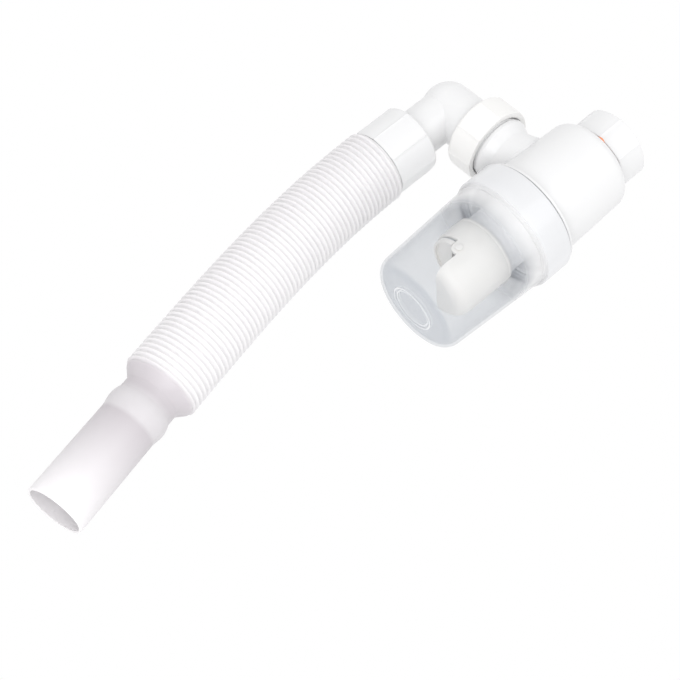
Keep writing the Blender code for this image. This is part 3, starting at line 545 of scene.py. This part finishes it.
def branch_outline():
    """(r, x) rows of the branch, from its collar to its threaded end and back inside."""
    outline = fillet([
        (BRANCH_RADIUS, 41.0), (BRANCH_RADIUS, 43.5, 1.2), (COLLAR_RADIUS, 50.5, 1.0),
        (COLLAR_RADIUS, 53.5, 0.7), (21.0, 53.6),
    ], 4)
    for k in range(BRANCH_THREADS):
        start = BRANCH_THREAD_START + BRANCH_PITCH * k
        outline += thread_ring(start, BRANCH_ROOT, BRANCH_CREST, BRANCH_STEPS)
    outline += [(BRANCH_ROOT, 65.4), (20.7, BRANCH_END), (17.0, BRANCH_END)]
    outline += [(BRANCH_BORE, 65.5), (BRANCH_BORE, 45.0)]
    return outline


def hole_loop(outline, start):
    """Indices round a hole, always in the same order as seen along +X."""
    rows = list(range(start, start + HOLE_ROWS + 1))
    if outline[rows[0]][1] < outline[rows[-1]][1]:
        rows.reverse()
    across = list(range(HOLE_MIDDLE - HOLE_HALF, HOLE_MIDDLE + HOLE_HALF + 1))
    loop = [rows[0] * BODY_COLUMNS + c for c in across[:-1]]
    loop += [r * BODY_COLUMNS + across[-1] for r in rows[:-1]]
    loop += [rows[-1] * BODY_COLUMNS + c for c in reversed(across[1:])]
    loop += [r * BODY_COLUMNS + across[0] for r in reversed(rows[1:])]
    return loop


def branch_angle(point):
    """Angle of a point of the barrel round the branch, with the barrel rolled out flat."""
    x, y, z = point
    return math.atan2(z - BRANCH_Z, math.atan2(y, -x) * barrel_radius(z))


def bridge(faces, a, b):
    """Quads between two rings of as many points."""
    n = len(a)
    faces.extend((a[i], a[(i + 1) % n], b[(i + 1) % n], b[i]) for i in range(n))


def next_ring(points, faces, last, row):
    """Adds a ring of points, joins it to the last one, and gives its indices."""
    first = len(points)
    points.extend(row)
    now = list(range(first, len(points)))
    bridge(faces, last, now)
    return now


def contact(angle, tube, round_off, skin):
    """Centre of the rolling fillet ball, and where it touches the tube and the barrel."""
    y = (tube + round_off) * math.cos(angle)
    z = BRANCH_Z + (tube + round_off) * math.sin(angle)
    radius = barrel_radius(z) - skin + round_off
    x = -math.sqrt(radius ** 2 - y ** 2)
    on_tube = (x, tube * math.cos(angle), BRANCH_Z + tube * math.sin(angle))
    scale = (radius - round_off) / radius
    return (x, y, z), on_tube, (x * scale, y * scale, z)


def patch(points, faces, loop, angles, tube, round_off, skin, steps):
    """From the hole's edge over the barrel, then round the fillet to the tube."""
    touches = [contact(a, tube, round_off, skin) for a in angles]
    edge = [points[i] for i in loop]
    last = loop
    for k in range(1, PATCH_ROWS + 1):
        share = k / PATCH_ROWS
        row = []
        for (_, _, on_barrel), end in zip(touches, edge):
            turn_a = math.atan2(end[1], -end[0])
            turn_b = math.atan2(on_barrel[1], -on_barrel[0])
            turn = turn_a + (turn_b - turn_a) * share
            z = end[2] + (on_barrel[2] - end[2]) * share
            radius = barrel_radius(z) - skin
            row.append([-radius * math.cos(turn), radius * math.sin(turn), z])
        last = next_ring(points, faces, last, row)
    for k in range(1, steps + 1):
        row = []
        for centre, on_tube, on_barrel in touches:
            centre = Vector(centre)
            start = Vector(on_barrel) - centre
            end = Vector(on_tube) - centre
            row.append(list(centre + start.slerp(end, k / steps)))
        last = next_ring(points, faces, last, row)
    return last


def make_body():
    """The body as one closed mesh: turned outside and inside walls joined through the branch."""
    outline, outer_start, inner_start = body_outline()
    points = []
    for r, z in outline:
        for j in range(BODY_COLUMNS):
            a = math.tau * j / BODY_COLUMNS
            points.append([r * math.cos(a), r * math.sin(a), z])
    skip = set()
    for start in (outer_start, inner_start):
        for i in range(HOLE_ROWS):
            skip.update((start + i, HOLE_MIDDLE + j) for j in range(-HOLE_HALF, HOLE_HALF))
    faces = grid_faces(len(outline), BODY_COLUMNS, True, skip)
    outer_loop = hole_loop(outline, outer_start)
    inner_loop = hole_loop(outline, inner_start)
    angles = [branch_angle(points[i]) for i in outer_loop]
    last = patch(points, faces, outer_loop, angles, BRANCH_RADIUS, BRANCH_FILLET, 0, 8)
    for r, x in branch_outline():
        row = [[-x, r * math.cos(a), BRANCH_Z + r * math.sin(a)] for a in angles]
        last = next_ring(points, faces, last, row)
    first_inside = patch(
        points, faces, inner_loop, angles, BRANCH_BORE, BRANCH_INNER_FILLET, BARREL_WALL, 2,
    )
    bridge(faces, last, first_inside)
    return mesh_object("trap_body_fine", points, faces, BODY_SHARP)


# Nuts

NUT_SIDES = 8
NUT_COLUMNS = 192
NUT_SHARP = 28
NUT_PITCH = 2.6
NUT_ROOT = 0.2
NUT_CREST = -0.55
NUT_SKIN = 0.9
FLAT_SWELL = 0.7
CORNER_CUT = 0.25
EDGE_SOFT = 0.35
RIDGE_HEIGHT = 0.45
RIDGE_WIDTH = 0.55
RIDGE_REACH = 0.6

INLET_NUT = {
    "corner": 27.0, "flat": 25.6, "length": 20.7, "bore": 20.6,
    "lip": 4.9, "lip_bore": 17.8, "shoulder": 1.3,
}
BRANCH_NUT = {
    "corner": 28.2, "flat": 26.7, "length": 22.0, "bore": 22.7,
    "lip": 5.2, "lip_bore": 19.9, "shoulder": 4.6,
}
HOSE_NUT = {
    "corner": 25.9, "flat": 24.5, "length": 33.2, "bore": 22.7,
    "lip": 5.2, "lip_bore": 17.8, "shoulder": 5.5,
}
INLET_NUT_Z = -10.2
INLET_NUT_TURN = math.radians(-85)
BRANCH_NUT_X = 76.6
BRANCH_NUT_TURN = math.radians(-96)
HOSE_NUT_Z = BRANCH_Z - 34.9
HOSE_NUT_TURN = math.radians(-86)


def nut_outline(size):
    """Turned outline of a nut with its lipped end at height 0, and threads in its bore."""
    corner, length, bore = size["corner"], size["length"], size["bore"]
    lip, lip_bore = size["lip"], size["lip_bore"]
    outline = fillet([
        (lip_bore, 0, 0.3), (corner, 0, size["shoulder"]), (corner, length, 0.9),
        (bore + 0.8, length, 0.5),
    ], 8)
    outline = densify(outline, 3)
    steps = (0.35 * NUT_PITCH, 0.6 * NUT_PITCH, NUT_PITCH)
    z = length - 1.2
    while z - NUT_PITCH > lip + 0.6:
        outline += thread_ring(z, bore + NUT_ROOT, bore + NUT_CREST, steps, -1)
        z -= NUT_PITCH
    outline += [(bore, lip), (lip_bore, lip)]
    return outline


def nut(name, size, turn):
    """An octagonal nut whose slightly convex flats meet in fine raised ridges."""
    corner, flat = size["corner"], size["flat"]
    skin = size["bore"] + NUT_SKIN
    sector = math.tau / NUT_SIDES
    between = (flat + corner) / 2
    sharp_corner = flat / math.cos(sector / 2)

    def shape(r, angle, z):
        """Keeps the bore round and presses the outside into the octagon, with soft edges."""
        if r <= skin:
            return r
        off = (angle - turn) % sector
        off = min(off, sector - off)
        side = flat / math.cos(sector / 2 - off)
        side += FLAT_SWELL * (between - side)
        limit = min(side, sharp_corner - CORNER_CUT)
        near_side = math.exp(-(limit - flat) / EDGE_SOFT)
        near_turned = math.exp(-(r - flat) / EDGE_SOFT)
        result = min(flat - EDGE_SOFT * math.log(near_side + near_turned), limit)
        if r > limit - RIDGE_REACH:
            result += RIDGE_HEIGHT * math.exp(-((off * corner / RIDGE_WIDTH) ** 2))
        return max(result, skin)

    return turned(name, nut_outline(size), NUT_COLUMNS, shape, angle=NUT_SHARP)


def make_inlet_nut():
    return place(nut("inlet_nut_fine", INLET_NUT, INLET_NUT_TURN), None, (0, 0, INLET_NUT_Z))


def make_branch_nut():
    piece = nut("branch_nut_fine", BRANCH_NUT, BRANCH_NUT_TURN)
    return place(piece, (math.pi / 2, "Y"), (-BRANCH_NUT_X, 0, BRANCH_Z))


def make_hose_nut():
    piece = nut("hose_nut_fine", HOSE_NUT, HOSE_NUT_TURN)
    return place(piece, (math.pi, "X"), (-ELBOW_X, 0, HOSE_NUT_Z))


# Hose

HOSE_RIDGES = 57
HOSE_PITCH = 3.91
HOSE_BEND = math.radians(14.21)
HOSE_TURN = math.radians(-10)
HOSE_EASE = 2
HOSE_COLUMNS = 96
HOSE_SHARP = 50
LINE_STEPS = 4000
CUFF_LENGTH = 19.9
CUFF_ROOT = 21.3
CUFF_CREST = 22.0
CUFF_PITCH = 3.4
CUFF_STEPS = (0.9, 1.5, 2.4)
RIDGES_START = CUFF_LENGTH + 1.0
RIDGES_END = RIDGES_START + HOSE_RIDGES * HOSE_PITCH
OUTER_GROOVE = 25.6
OUTER_RISE = 1.3
INNER_GROOVE = 24.1
INNER_RISE = 1.6
NECK_LENGTH = 16.2
BEAD_LENGTH = 16.1
BEAD_RISE = 1.2
SPIGOT_RADIUS = 20.0
SPIGOT_LENGTH = 70.6
SPIGOT_FLARE = 0.4
SPIGOT_WALL = 1.8

# One ridge and the bead, as (share of the length, share of the rise)
RIDGE_WAVE = (
    (0.0, 0.0), (0.16, 0.12), (0.30, 0.62), (0.42, 0.95),
    (0.5, 1.0), (0.58, 0.95), (0.70, 0.62), (0.84, 0.12),
)
BEAD_WAVE = (
    (0.08, 0.2), (0.16, 0.5), (0.26, 0.82), (0.38, 0.98),
    (0.48, 1.0), (0.6, 0.9), (0.72, 0.62), (0.84, 0.28),
)

# The cone and the neck after the ridges, as (distance, radius)
NECK = (
    (0.5, 25.3), (1.0, 25.1), (7.2, 19.8), (8.0, 19.45),
    (9.0, 19.35), (12.0, 19.35), (15.0, 19.45), (NECK_LENGTH, 19.6),
)

# Painted shade on the hose past its ridges, darkening its smooth tail, as (metres, factors)
HOSE_TAIL_PAINTED_SHADE = (
    (-0.003, (1, 1, 1)),
    (0.001, (0.74, 0.715, 0.735)),
    (0.012, (0.68, 0.655, 0.675)),
    (0.018, (0.79, 0.78, 0.79)),
    (0.031, (0.79, 0.78, 0.79)),
    (0.034, (0.67, 0.645, 0.665)),
    (0.100, (1, 1, 1)),
)


def hose_line(distances):
    """(centre, normal, binormal) along the bent line of the hose, at sorted distances."""
    aside = np.array([math.cos(HOSE_TURN), math.sin(HOSE_TURN), 0])
    down = np.array([0, 0, -1.0])
    binormal = np.cross(down, aside)
    fine = np.linspace(0, max(distances), LINE_STEPS + 1)
    share = np.clip((fine - CUFF_LENGTH) / (HOSE_RIDGES * HOSE_PITCH), 0, 1)
    angle = HOSE_BEND * (1 - (1 - share) ** HOSE_EASE)
    direction = np.outer(np.sin(angle), aside) + np.outer(np.cos(angle), down)
    step = fine[1] - fine[0]
    moves = (direction[1:] + direction[:-1]) / 2 * step
    path = np.vstack([np.zeros(3), np.cumsum(moves, axis=0)])
    start = np.array([-ELBOW_X, 0, HOSE_TOP])
    result = []
    for s in distances:
        k = min(int(s / step), LINE_STEPS - 1)
        t = s / step - k
        centre = start + path[k] * (1 - t) + path[k + 1] * t
        along = direction[k] * (1 - t) + direction[k + 1] * t
        along = along / np.linalg.norm(along)
        result.append((centre, np.cross(along, binormal), binormal))
    return result


def cuff_outline():
    """(distance, radius) points of the outside of the threaded cuff."""
    outline = [(0.0, 21.2), (0.4, 21.6)]
    s = 1.4
    while s + CUFF_PITCH < CUFF_LENGTH:
        ring = thread_ring(s, CUFF_ROOT, CUFF_CREST, CUFF_STEPS)
        outline += [(at, r) for r, at in ring]
        s += CUFF_PITCH
    return outline + [(CUFF_LENGTH - 0.1, 21.4), (CUFF_LENGTH + 0.1, 25.0)]


def spigot_outline():
    """(distance, radius) points of the neck, the bead and the smooth spigot."""
    outline = [(RIDGES_END + along, r) for along, r in NECK]
    bead = RIDGES_END + NECK_LENGTH
    for share, rise in BEAD_WAVE:
        outline.append((bead + BEAD_LENGTH * share, SPIGOT_RADIUS + BEAD_RISE * rise))
    spigot = bead + BEAD_LENGTH
    for share in (0, 0.3, 0.6, 0.9, 0.995):
        outline.append((spigot + SPIGOT_LENGTH * share, SPIGOT_RADIUS + SPIGOT_FLARE * share))
    return outline


def hose_outline():
    """(distance, radius) points of the outside, then of the inside, of the hose."""
    outer = cuff_outline()
    inner = [(0.0, 15.3), (2.0, 15.3), (2.0, 19.8)]
    inner += [(CUFF_LENGTH - 0.5, 19.8), (CUFF_LENGTH + 0.5, 23.9)]
    for i in range(HOSE_RIDGES):
        for share, rise in RIDGE_WAVE:
            at = RIDGES_START + HOSE_PITCH * (i + share)
            outer.append((at, OUTER_GROOVE + OUTER_RISE * rise))
        for share, rise in RIDGE_WAVE[::2]:
            at = RIDGES_START + HOSE_PITCH * (i + share)
            inner.append((at, INNER_GROOVE + INNER_RISE * rise))
    outer += [(RIDGES_END, 25.3), (RIDGES_END + 0.5, 25.25)]
    tail = spigot_outline()
    foot = RIDGES_END + NECK_LENGTH + BEAD_LENGTH + SPIGOT_LENGTH
    lip = [(foot - 0.1, SPIGOT_RADIUS + 0.3), (foot, SPIGOT_RADIUS + 0.05)]
    lip += [(foot, SPIGOT_RADIUS - 1.1), (foot - 0.2, SPIGOT_RADIUS - 1.4)]
    back = [(s, r - SPIGOT_WALL) for s, r in reversed(tail[1:-1])]
    return outer + tail + lip + back + inner[::-1]


def make_hose():
    """The hose with its cuff, ridges, neck, bead and open spigot, bent at the ridges."""
    rows = hose_outline()
    distances = sorted({s for s, _ in rows})
    line = dict(zip(distances, hose_line(distances)))
    return swept("hose_fine", [(*line[s], r) for s, r in rows], HOSE_COLUMNS, HOSE_SHARP)


def shade_hose_tail():
    """Paints shade on the hose's look past the last ridge."""
    centre, normal, binormal = hose_line([0.0, RIDGES_END])[-1]
    along = np.cross(binormal, normal)
    banded(HOSE, centre / 1000, along.tolist(), HOSE_TAIL_PAINTED_SHADE)


# Elbow

HEAD_RADIUS = 19.6
HEAD_START = 71.1
ELBOW_FLANGE = 22.2
ELBOW_FLANGE_START = 68.6
ELBOW_WALL = 2.2
ELBOW_BORE = 15.3
LEG_RADIUS = 17.5
LEG_GROOVE = 16.5
LEG_GROOVE_TOP = -40.1
LEG_GROOVE_FOOT = -43.2
LEG_FOOT = -45.9
ELBOW_SHARP = 22


def make_elbow():
    """Elbow: a flange and a ball head along the branch, and a narrower grooved leg."""
    on_branch = ((-math.pi / 2, "Y"), (0, 0, BRANCH_Z))
    on_leg = (None, (-ELBOW_X, 0, BRANCH_Z))
    head = fillet([
        (0, ELBOW_FLANGE_START), (ELBOW_FLANGE, ELBOW_FLANGE_START, 0.4),
        (ELBOW_FLANGE, HEAD_START, 0.4), (HEAD_RADIUS, HEAD_START), (HEAD_RADIUS, ELBOW_X),
    ])
    head = densify(head, 4) + arc_points(0, ELBOW_X, HEAD_RADIUS, 0, 90, 32)[1:]
    elbow = turned("elbow_fine", head, 144, close=False, angle=ELBOW_SHARP)
    place(elbow, *on_branch)

    leg = fillet([
        (0, 0), (LEG_RADIUS, 0), (LEG_RADIUS, LEG_GROOVE_TOP), (LEG_GROOVE, LEG_GROOVE_TOP),
        (LEG_GROOVE, LEG_GROOVE_FOOT), (LEG_RADIUS, LEG_GROOVE_FOOT), (LEG_RADIUS, LEG_FOOT, 0.5),
        (0, LEG_FOOT),
    ])
    leg_piece = place(turned("leg", densify(leg, 5), 144, close=False), *on_leg)
    cut(elbow, leg_piece, "UNION", ELBOW_SHARP)

    inside, start = HEAD_RADIUS - ELBOW_WALL, 60
    hollow = [(0, start), (inside, start), (inside, ELBOW_X)]
    hollow += arc_points(0, ELBOW_X, inside, 0, 90, 24)[1:]
    hollow_piece = place(turned("hollow", hollow, 96, close=False), *on_branch)
    cut(elbow, hollow_piece, angle=ELBOW_SHARP)

    below = -50
    bore = [(0, 0), (ELBOW_BORE, 0), (ELBOW_BORE, below), (0, below)]
    bore_piece = place(turned("bore", bore, 96, close=False), *on_leg)
    return cut(elbow, bore_piece, angle=ELBOW_SHARP)


# Cup

CUP_RIM = -77.0
CUP_STEP = -98.5
CUP_BASE = -180.4
CUP_FLOOR = 1.8
COLLAR_OUTER = 42.2
COLLAR_INNER = 39.6
CUP_THREAD_CREST = 39.0


def make_cup():
    """The translucent cup with its stepped collar, threads, rounded base and moulded ring."""
    floor = CUP_BASE + CUP_FLOOR
    recess = CUP_BASE - 0.45
    second_step = CUP_STEP - 2.7
    outer = [(COLLAR_INNER, CUP_RIM, 0.3), (COLLAR_OUTER, CUP_RIM, 1.2)]
    outer += [(COLLAR_OUTER, CUP_STEP, 1.2), (41.0, CUP_STEP - 0.5, 0.5)]
    outer += [(41.0, second_step, 0.8), (39.9, CUP_STEP - 3.2, 0.5), (35.7, CUP_BASE, 9.0)]
    outer += [(17.2, CUP_BASE), (16.8, recess), (16.0, recess), (15.6, CUP_BASE)]
    outline = densify(fillet(outer + [(4.0, CUP_BASE)]), 5)
    outline += [(0.0, CUP_BASE), (0.0, floor)]
    inner = fillet([
        (0.001, floor), (33.9, floor, 7.2), (38.3, CUP_STEP - 1.2, 1.0),
        (COLLAR_INNER, CUP_STEP + 1.5, 0.5), (COLLAR_INNER, CUP_RIM),
    ])
    outline += densify(inner[:-1], 5)
    z = CUP_STEP + 4.0
    while z + SKIRT_PITCH < CUP_RIM - 1:
        outline += thread_ring(z, COLLAR_INNER, CUP_THREAD_CREST, SKIRT_STEPS)
        z += SKIRT_PITCH
    return turned("trap_cup_fine", outline, 160, angle=30)


# Dip tube

DIP_TOP = -2.5
DIP_RIM = 19.6
DIP_RIM_FOOT = -5.0
DIP_NECK = 17.5
DIP_NECK_BORE = 15.2
DIP_SHOULDER = -14.6
DIP_RADIUS = 22.5
DIP_BORE = 20.3
DIP_FOOT = -126.6


def make_dip_tube():
    """The tube down the middle, with a narrower rimmed neck in the inlet."""
    outline = fillet([
        (DIP_NECK_BORE, DIP_TOP, 0.3), (DIP_RIM, DIP_TOP, 0.4), (DIP_RIM, DIP_RIM_FOOT, 0.3),
        (DIP_NECK, DIP_RIM_FOOT), (DIP_NECK, DIP_SHOULDER), (DIP_RADIUS, DIP_SHOULDER, 1.0),
        (DIP_RADIUS, DIP_FOOT, 0.4), (DIP_BORE, DIP_FOOT, 0.4), (DIP_BORE, -21.9, 0.8),
        (DIP_NECK_BORE, -16.8, 0.8),
    ])
    return turned("dip_tube_fine", densify(outline, 12), 96)


# Core

CORE_TOP = -114.6
CORE_RADIUS = 25.0
CORE_BORE = 22.8
SEAT_RADIUS = 21.5
SEAT_TOP = SEAT_Z + 1.8
TUBE_STOP = -129.2
GUARD_FOOT = -160.8
GUARD_INNER = 23.2
GUARD_WALL = 1.8
GROOVE_TOP = -116.6
GROOVE_FOOT = -117.2
PORT_RADIUS = 20.5
PORT_CHORD = 8.0
EAR_RADIUS = 5.0


def make_core():
    """The core: sleeve with an entry rim, plate, ears and the scoop-shaped guard."""
    profile = fillet([
        (0, SEAT_TOP), (SEAT_RADIUS, SEAT_TOP), (SEAT_RADIUS, TUBE_STOP), (CORE_BORE, TUBE_STOP),
        (CORE_BORE, CORE_TOP, 0.3), (CORE_RADIUS, CORE_TOP, 0.5), (CORE_RADIUS, GROOVE_TOP, 0.2),
        (24.7, -116.9), (CORE_RADIUS, GROOVE_FOOT, 0.2), (CORE_RADIUS, GUARD_FOOT, 9.0),
        (0, GUARD_FOOT),
    ])
    core = turned("valve_core_fine", densify(profile, 6), 96, close=False)
    floor = GUARD_FOOT + GUARD_WALL
    hollow = fillet([(0, SEAT_Z), (GUARD_INNER, SEAT_Z), (GUARD_INNER, floor, 7.2), (0, floor)])
    cut(core, turned("hollow", hollow, 96, close=False))

    far = 30
    below = GUARD_FOOT - 5
    mouth = [(-far, SEAT_Z), (-5.6, SEAT_Z), (-EAR_RADIUS, SEAT_Z - 0.8)]
    mouth += arc_points(0, PIN_Z, EAR_RADIUS, 180, 300, 16)
    mouth += [(2.0, below), (-far, below)]
    cut(core, prism("mouth", mouth, "Y", -far, far))

    port = half_disc(PORT_RADIUS, PORT_CHORD, 32)
    cut(core, prism("port", port, "Z", SEAT_Z - 2, SEAT_Z + 4))
    cut(core, disc("pin_hole", PIN_HOLE, 40, (0, PIN_Z)))
    return core


# Flap

FLAP_TOP = SEAT_Z - 1.6
FLAP_UNDER = FLAP_TOP - 1.6
FLAP_BOTTOM = FLAP_TOP - 3.4
FLAP_RADIUS = 23.6
FLAP_CHORD = 6.2
DISH_RADIUS = 22.1
DISH_CHORD = 7.7
ARM_OUTER = 19.44
ARM_INNER = 15.5
ARM_END = -6.95
ARM_TOP = FLAP_TOP - 0.05
ARM_BOTTOM = FLAP_TOP - 2.6
EYE_X = 9.0
EYE_DROP = 12.0
TAIL_LENGTH = 15
TAIL_HALF = 4.95
TAIL_THICK = 1.2


def make_flap():
    """The half-disc flap with raised rim, hinge arms and boss, and the weighted tail's eye."""
    outline = half_disc(FLAP_RADIUS, FLAP_CHORD, 48)
    flap = prism("flap_fine", outline, "Z", FLAP_BOTTOM, FLAP_TOP)
    dish = half_disc(DISH_RADIUS, DISH_CHORD, 48)
    cut(flap, prism("dish", dish, "Z", FLAP_BOTTOM - 5, FLAP_UNDER))
    for side in (-1, 1):
        outer, inner = side * ARM_OUTER, side * ARM_INNER
        corners = [(ARM_END, outer), (0, outer), (0, inner), (ARM_END, inner)]
        cut(flap, prism("arm", corners, "Z", ARM_BOTTOM, ARM_TOP), "UNION")

    eye = (EYE_X, PIN_Z - EYE_DROP)
    corners = [(0, -TAIL_THICK), (TAIL_LENGTH, -TAIL_THICK)]
    corners += [(TAIL_LENGTH, TAIL_THICK), (0, TAIL_THICK)]
    bar = prism("tail", corners, "Y", -TAIL_HALF, TAIL_HALF)
    bar.data.transform(Matrix.Rotation(-math.atan2(-EYE_DROP, EYE_X), 4, "Y"))
    cut(flap, place(bar, None, (0, 0, PIN_Z)), "UNION")
    cut(flap, disc("eye", 4.2, 5, eye), "UNION")
    cut(flap, disc("boss", 3.0, 19.5, (0, PIN_Z)), "UNION")
    cut(flap, disc("bore", PIN_HOLE, 30, (0, PIN_Z)))
    cut(flap, disc("slot", 3.4, 12, eye))
    return flap


# Pin and washer

PIN_RADIUS = 1.5
PIN_HEAD = 2.6
PIN_SHOULDER = 25.3
PIN_END = 26.5
WASHER_TOP = -9.6
WASHER_FOOT = -11.5
WASHER_OUTER = 23.6
WASHER_INNER = 18.8
BULGE = 3.3
BULGE_FROM = 22
BULGE_AT = math.radians(-80)
BULGE_WIDTH = math.radians(9)


def make_pin():
    """The pin across the core, with a bevelled head at each end."""
    half = [(PIN_RADIUS, PIN_SHOULDER), (2.2, PIN_SHOULDER), (PIN_HEAD, 25.6), (PIN_HEAD, 26.1)]
    half += [(1.9, PIN_END), (0, PIN_END)]
    outline = [(r, -z) for r, z in reversed(half)] + half
    pin = turned("flap_pin_fine", outline, 40, close=False)
    return place(pin, (math.pi / 2, "X"), (0, 0, PIN_Z))


def make_washer():
    """The inlet washer, with the small bulge that shows beside the nut."""
    outline = fillet([
        (WASHER_INNER, WASHER_TOP, 0.3), (WASHER_OUTER, WASHER_TOP, 0.6),
        (WASHER_OUTER, WASHER_FOOT, 0.6), (WASHER_INNER, WASHER_FOOT, 0.3),
    ])

    def shape(r, angle, z):
        """Draws the outer edge out at one angle."""
        if r <= BULGE_FROM:
            return r
        off = math.remainder(angle - BULGE_AT, math.tau) / BULGE_WIDTH
        return r + BULGE * math.exp(-(off ** 2))

    return turned("inlet_washer_fine", outline, 192, shape)


# Pieces in their places

stands_for(make_body(), "trap", "trap_body", "white_plastic")
# The dip tube takes the lighter copy of white plastic, as painted light
stands_for(make_dip_tube(), "trap", "dip_tube", "white_plastic", TUBE_LIT_WHITE)
# The core, pin and flap take the cream plastic, lightened in part as painted light
stands_for(make_core(), "trap", "valve_core", "cream_plastic")
stands_for(make_pin(), "trap", "flap_pin", "cream_plastic")
stands_for(make_washer(), "trap", "inlet_washer", "orange_silicone")
stands_for(make_flap(), "flap", "flap", "cream_plastic")
stands_for(make_cup(), "cup", "trap_cup", "clear_plastic")
stands_for(make_elbow(), "elbow", "elbow", "white_plastic")
stands_for(make_hose(), "hose", "hose", "hose_plastic")
stands_for(make_inlet_nut(), "inlet_nut", "inlet_nut", "white_plastic")
# The branch nut takes the lighter copy of white plastic, as painted light
stands_for(make_branch_nut(), "branch_nut", "branch_nut", "white_plastic", NUT_LIT_WHITE)
stands_for(make_hose_nut(), "hose_nut", "hose_nut", "white_plastic")
# Painted shade on the hose's smooth tail
shade_hose_tail()
for subpart in frame["record"]["subparts"]:
    node = frame["nodes"][subpart["node"]]
    dress(node, SLOTS[subpart["material_slot"]])


# Floor, lamps, camera and world

FLOOR_Z = -0.75
FLOOR_SIZE = 8
FLOOR_TONE = 0.92
FLOOR_ROUGH = 0.8
CAMERA_LENS = 78.84
CAMERA_SENSOR = 36
CAMERA_RIGHT = (0.666, 0.083, 0.741)
CAMERA_BACK = (0.438, -0.848, -0.299)
CAMERA_PLACE = (402.1, -808.1, -514.5)

# Lamps as (name, place, aim, size, power)
LAMPS = (
    ("key", (0.9, -1.1, 0.5), (-0.02, 0, -0.15), 1.2, 4.2),
    ("fill", (0.25, -0.6, -0.45), (0.0, 0, -0.12), 0.5, 1.0),
    ("low", (0.26, -0.36, -0.62), (0.0, 0, -0.12), 0.4, 0.8),
)


def make_floor():
    """A pale floor well below the hanging trap."""
    bpy.ops.mesh.primitive_plane_add(size=FLOOR_SIZE, location=(0, 0, FLOOR_Z))
    floor = bpy.context.object
    floor.name = "floor"
    look = bpy.data.materials.new("floor")
    look.use_nodes = True
    shader = look.node_tree.nodes["Principled BSDF"]
    shader.inputs["Base Color"].default_value = (FLOOR_TONE, FLOOR_TONE, FLOOR_TONE, 1)
    shader.inputs["Roughness"].default_value = FLOOR_ROUGH
    floor.data.materials.append(look)


def make_lamp(name, at, aim, size, power):
    """A round, soft white lamp."""
    data = bpy.data.lights.new(name, "AREA")
    data.shape = "DISK"
    data.size = size
    data.energy = power
    lamp = bpy.data.objects.new(name, data)
    lamp.location = at
    lamp.rotation_euler = (Vector(aim) - Vector(at)).to_track_quat("-Z", "Y").to_euler()
    bpy.context.scene.collection.objects.link(lamp)


def make_camera():
    """The camera of the photo, fitted to the object's outlines."""
    data = bpy.data.cameras.new("camera")
    data.lens = CAMERA_LENS
    data.sensor_width = CAMERA_SENSOR
    camera = bpy.data.objects.new("camera", data)
    x, z = Vector(CAMERA_RIGHT), Vector(CAMERA_BACK)
    z.normalize()
    x = (x - x.dot(z) * z).normalized()
    y = z.cross(x)
    matrix = Matrix((x, y, z)).transposed().to_4x4()
    matrix.translation = Vector(CAMERA_PLACE) / 1000
    camera.matrix_world = matrix
    bpy.context.scene.collection.objects.link(camera)
    bpy.context.scene.camera = camera


def make_world():
    """Even white light all round, and colours shown as they are."""
    world = bpy.data.worlds.new("studio")
    world.use_nodes = True
    background = world.node_tree.nodes["Background"]
    background.inputs["Color"].default_value = (1, 1, 1, 1)
    background.inputs["Strength"].default_value = 1.0
    bpy.context.scene.world = world
    bpy.context.scene.view_settings.view_transform = "Standard"
    bpy.context.scene.view_settings.look = "None"


make_floor()
make_camera()
make_world()
for lamp_sizes in LAMPS:
    make_lamp(*lamp_sizes)
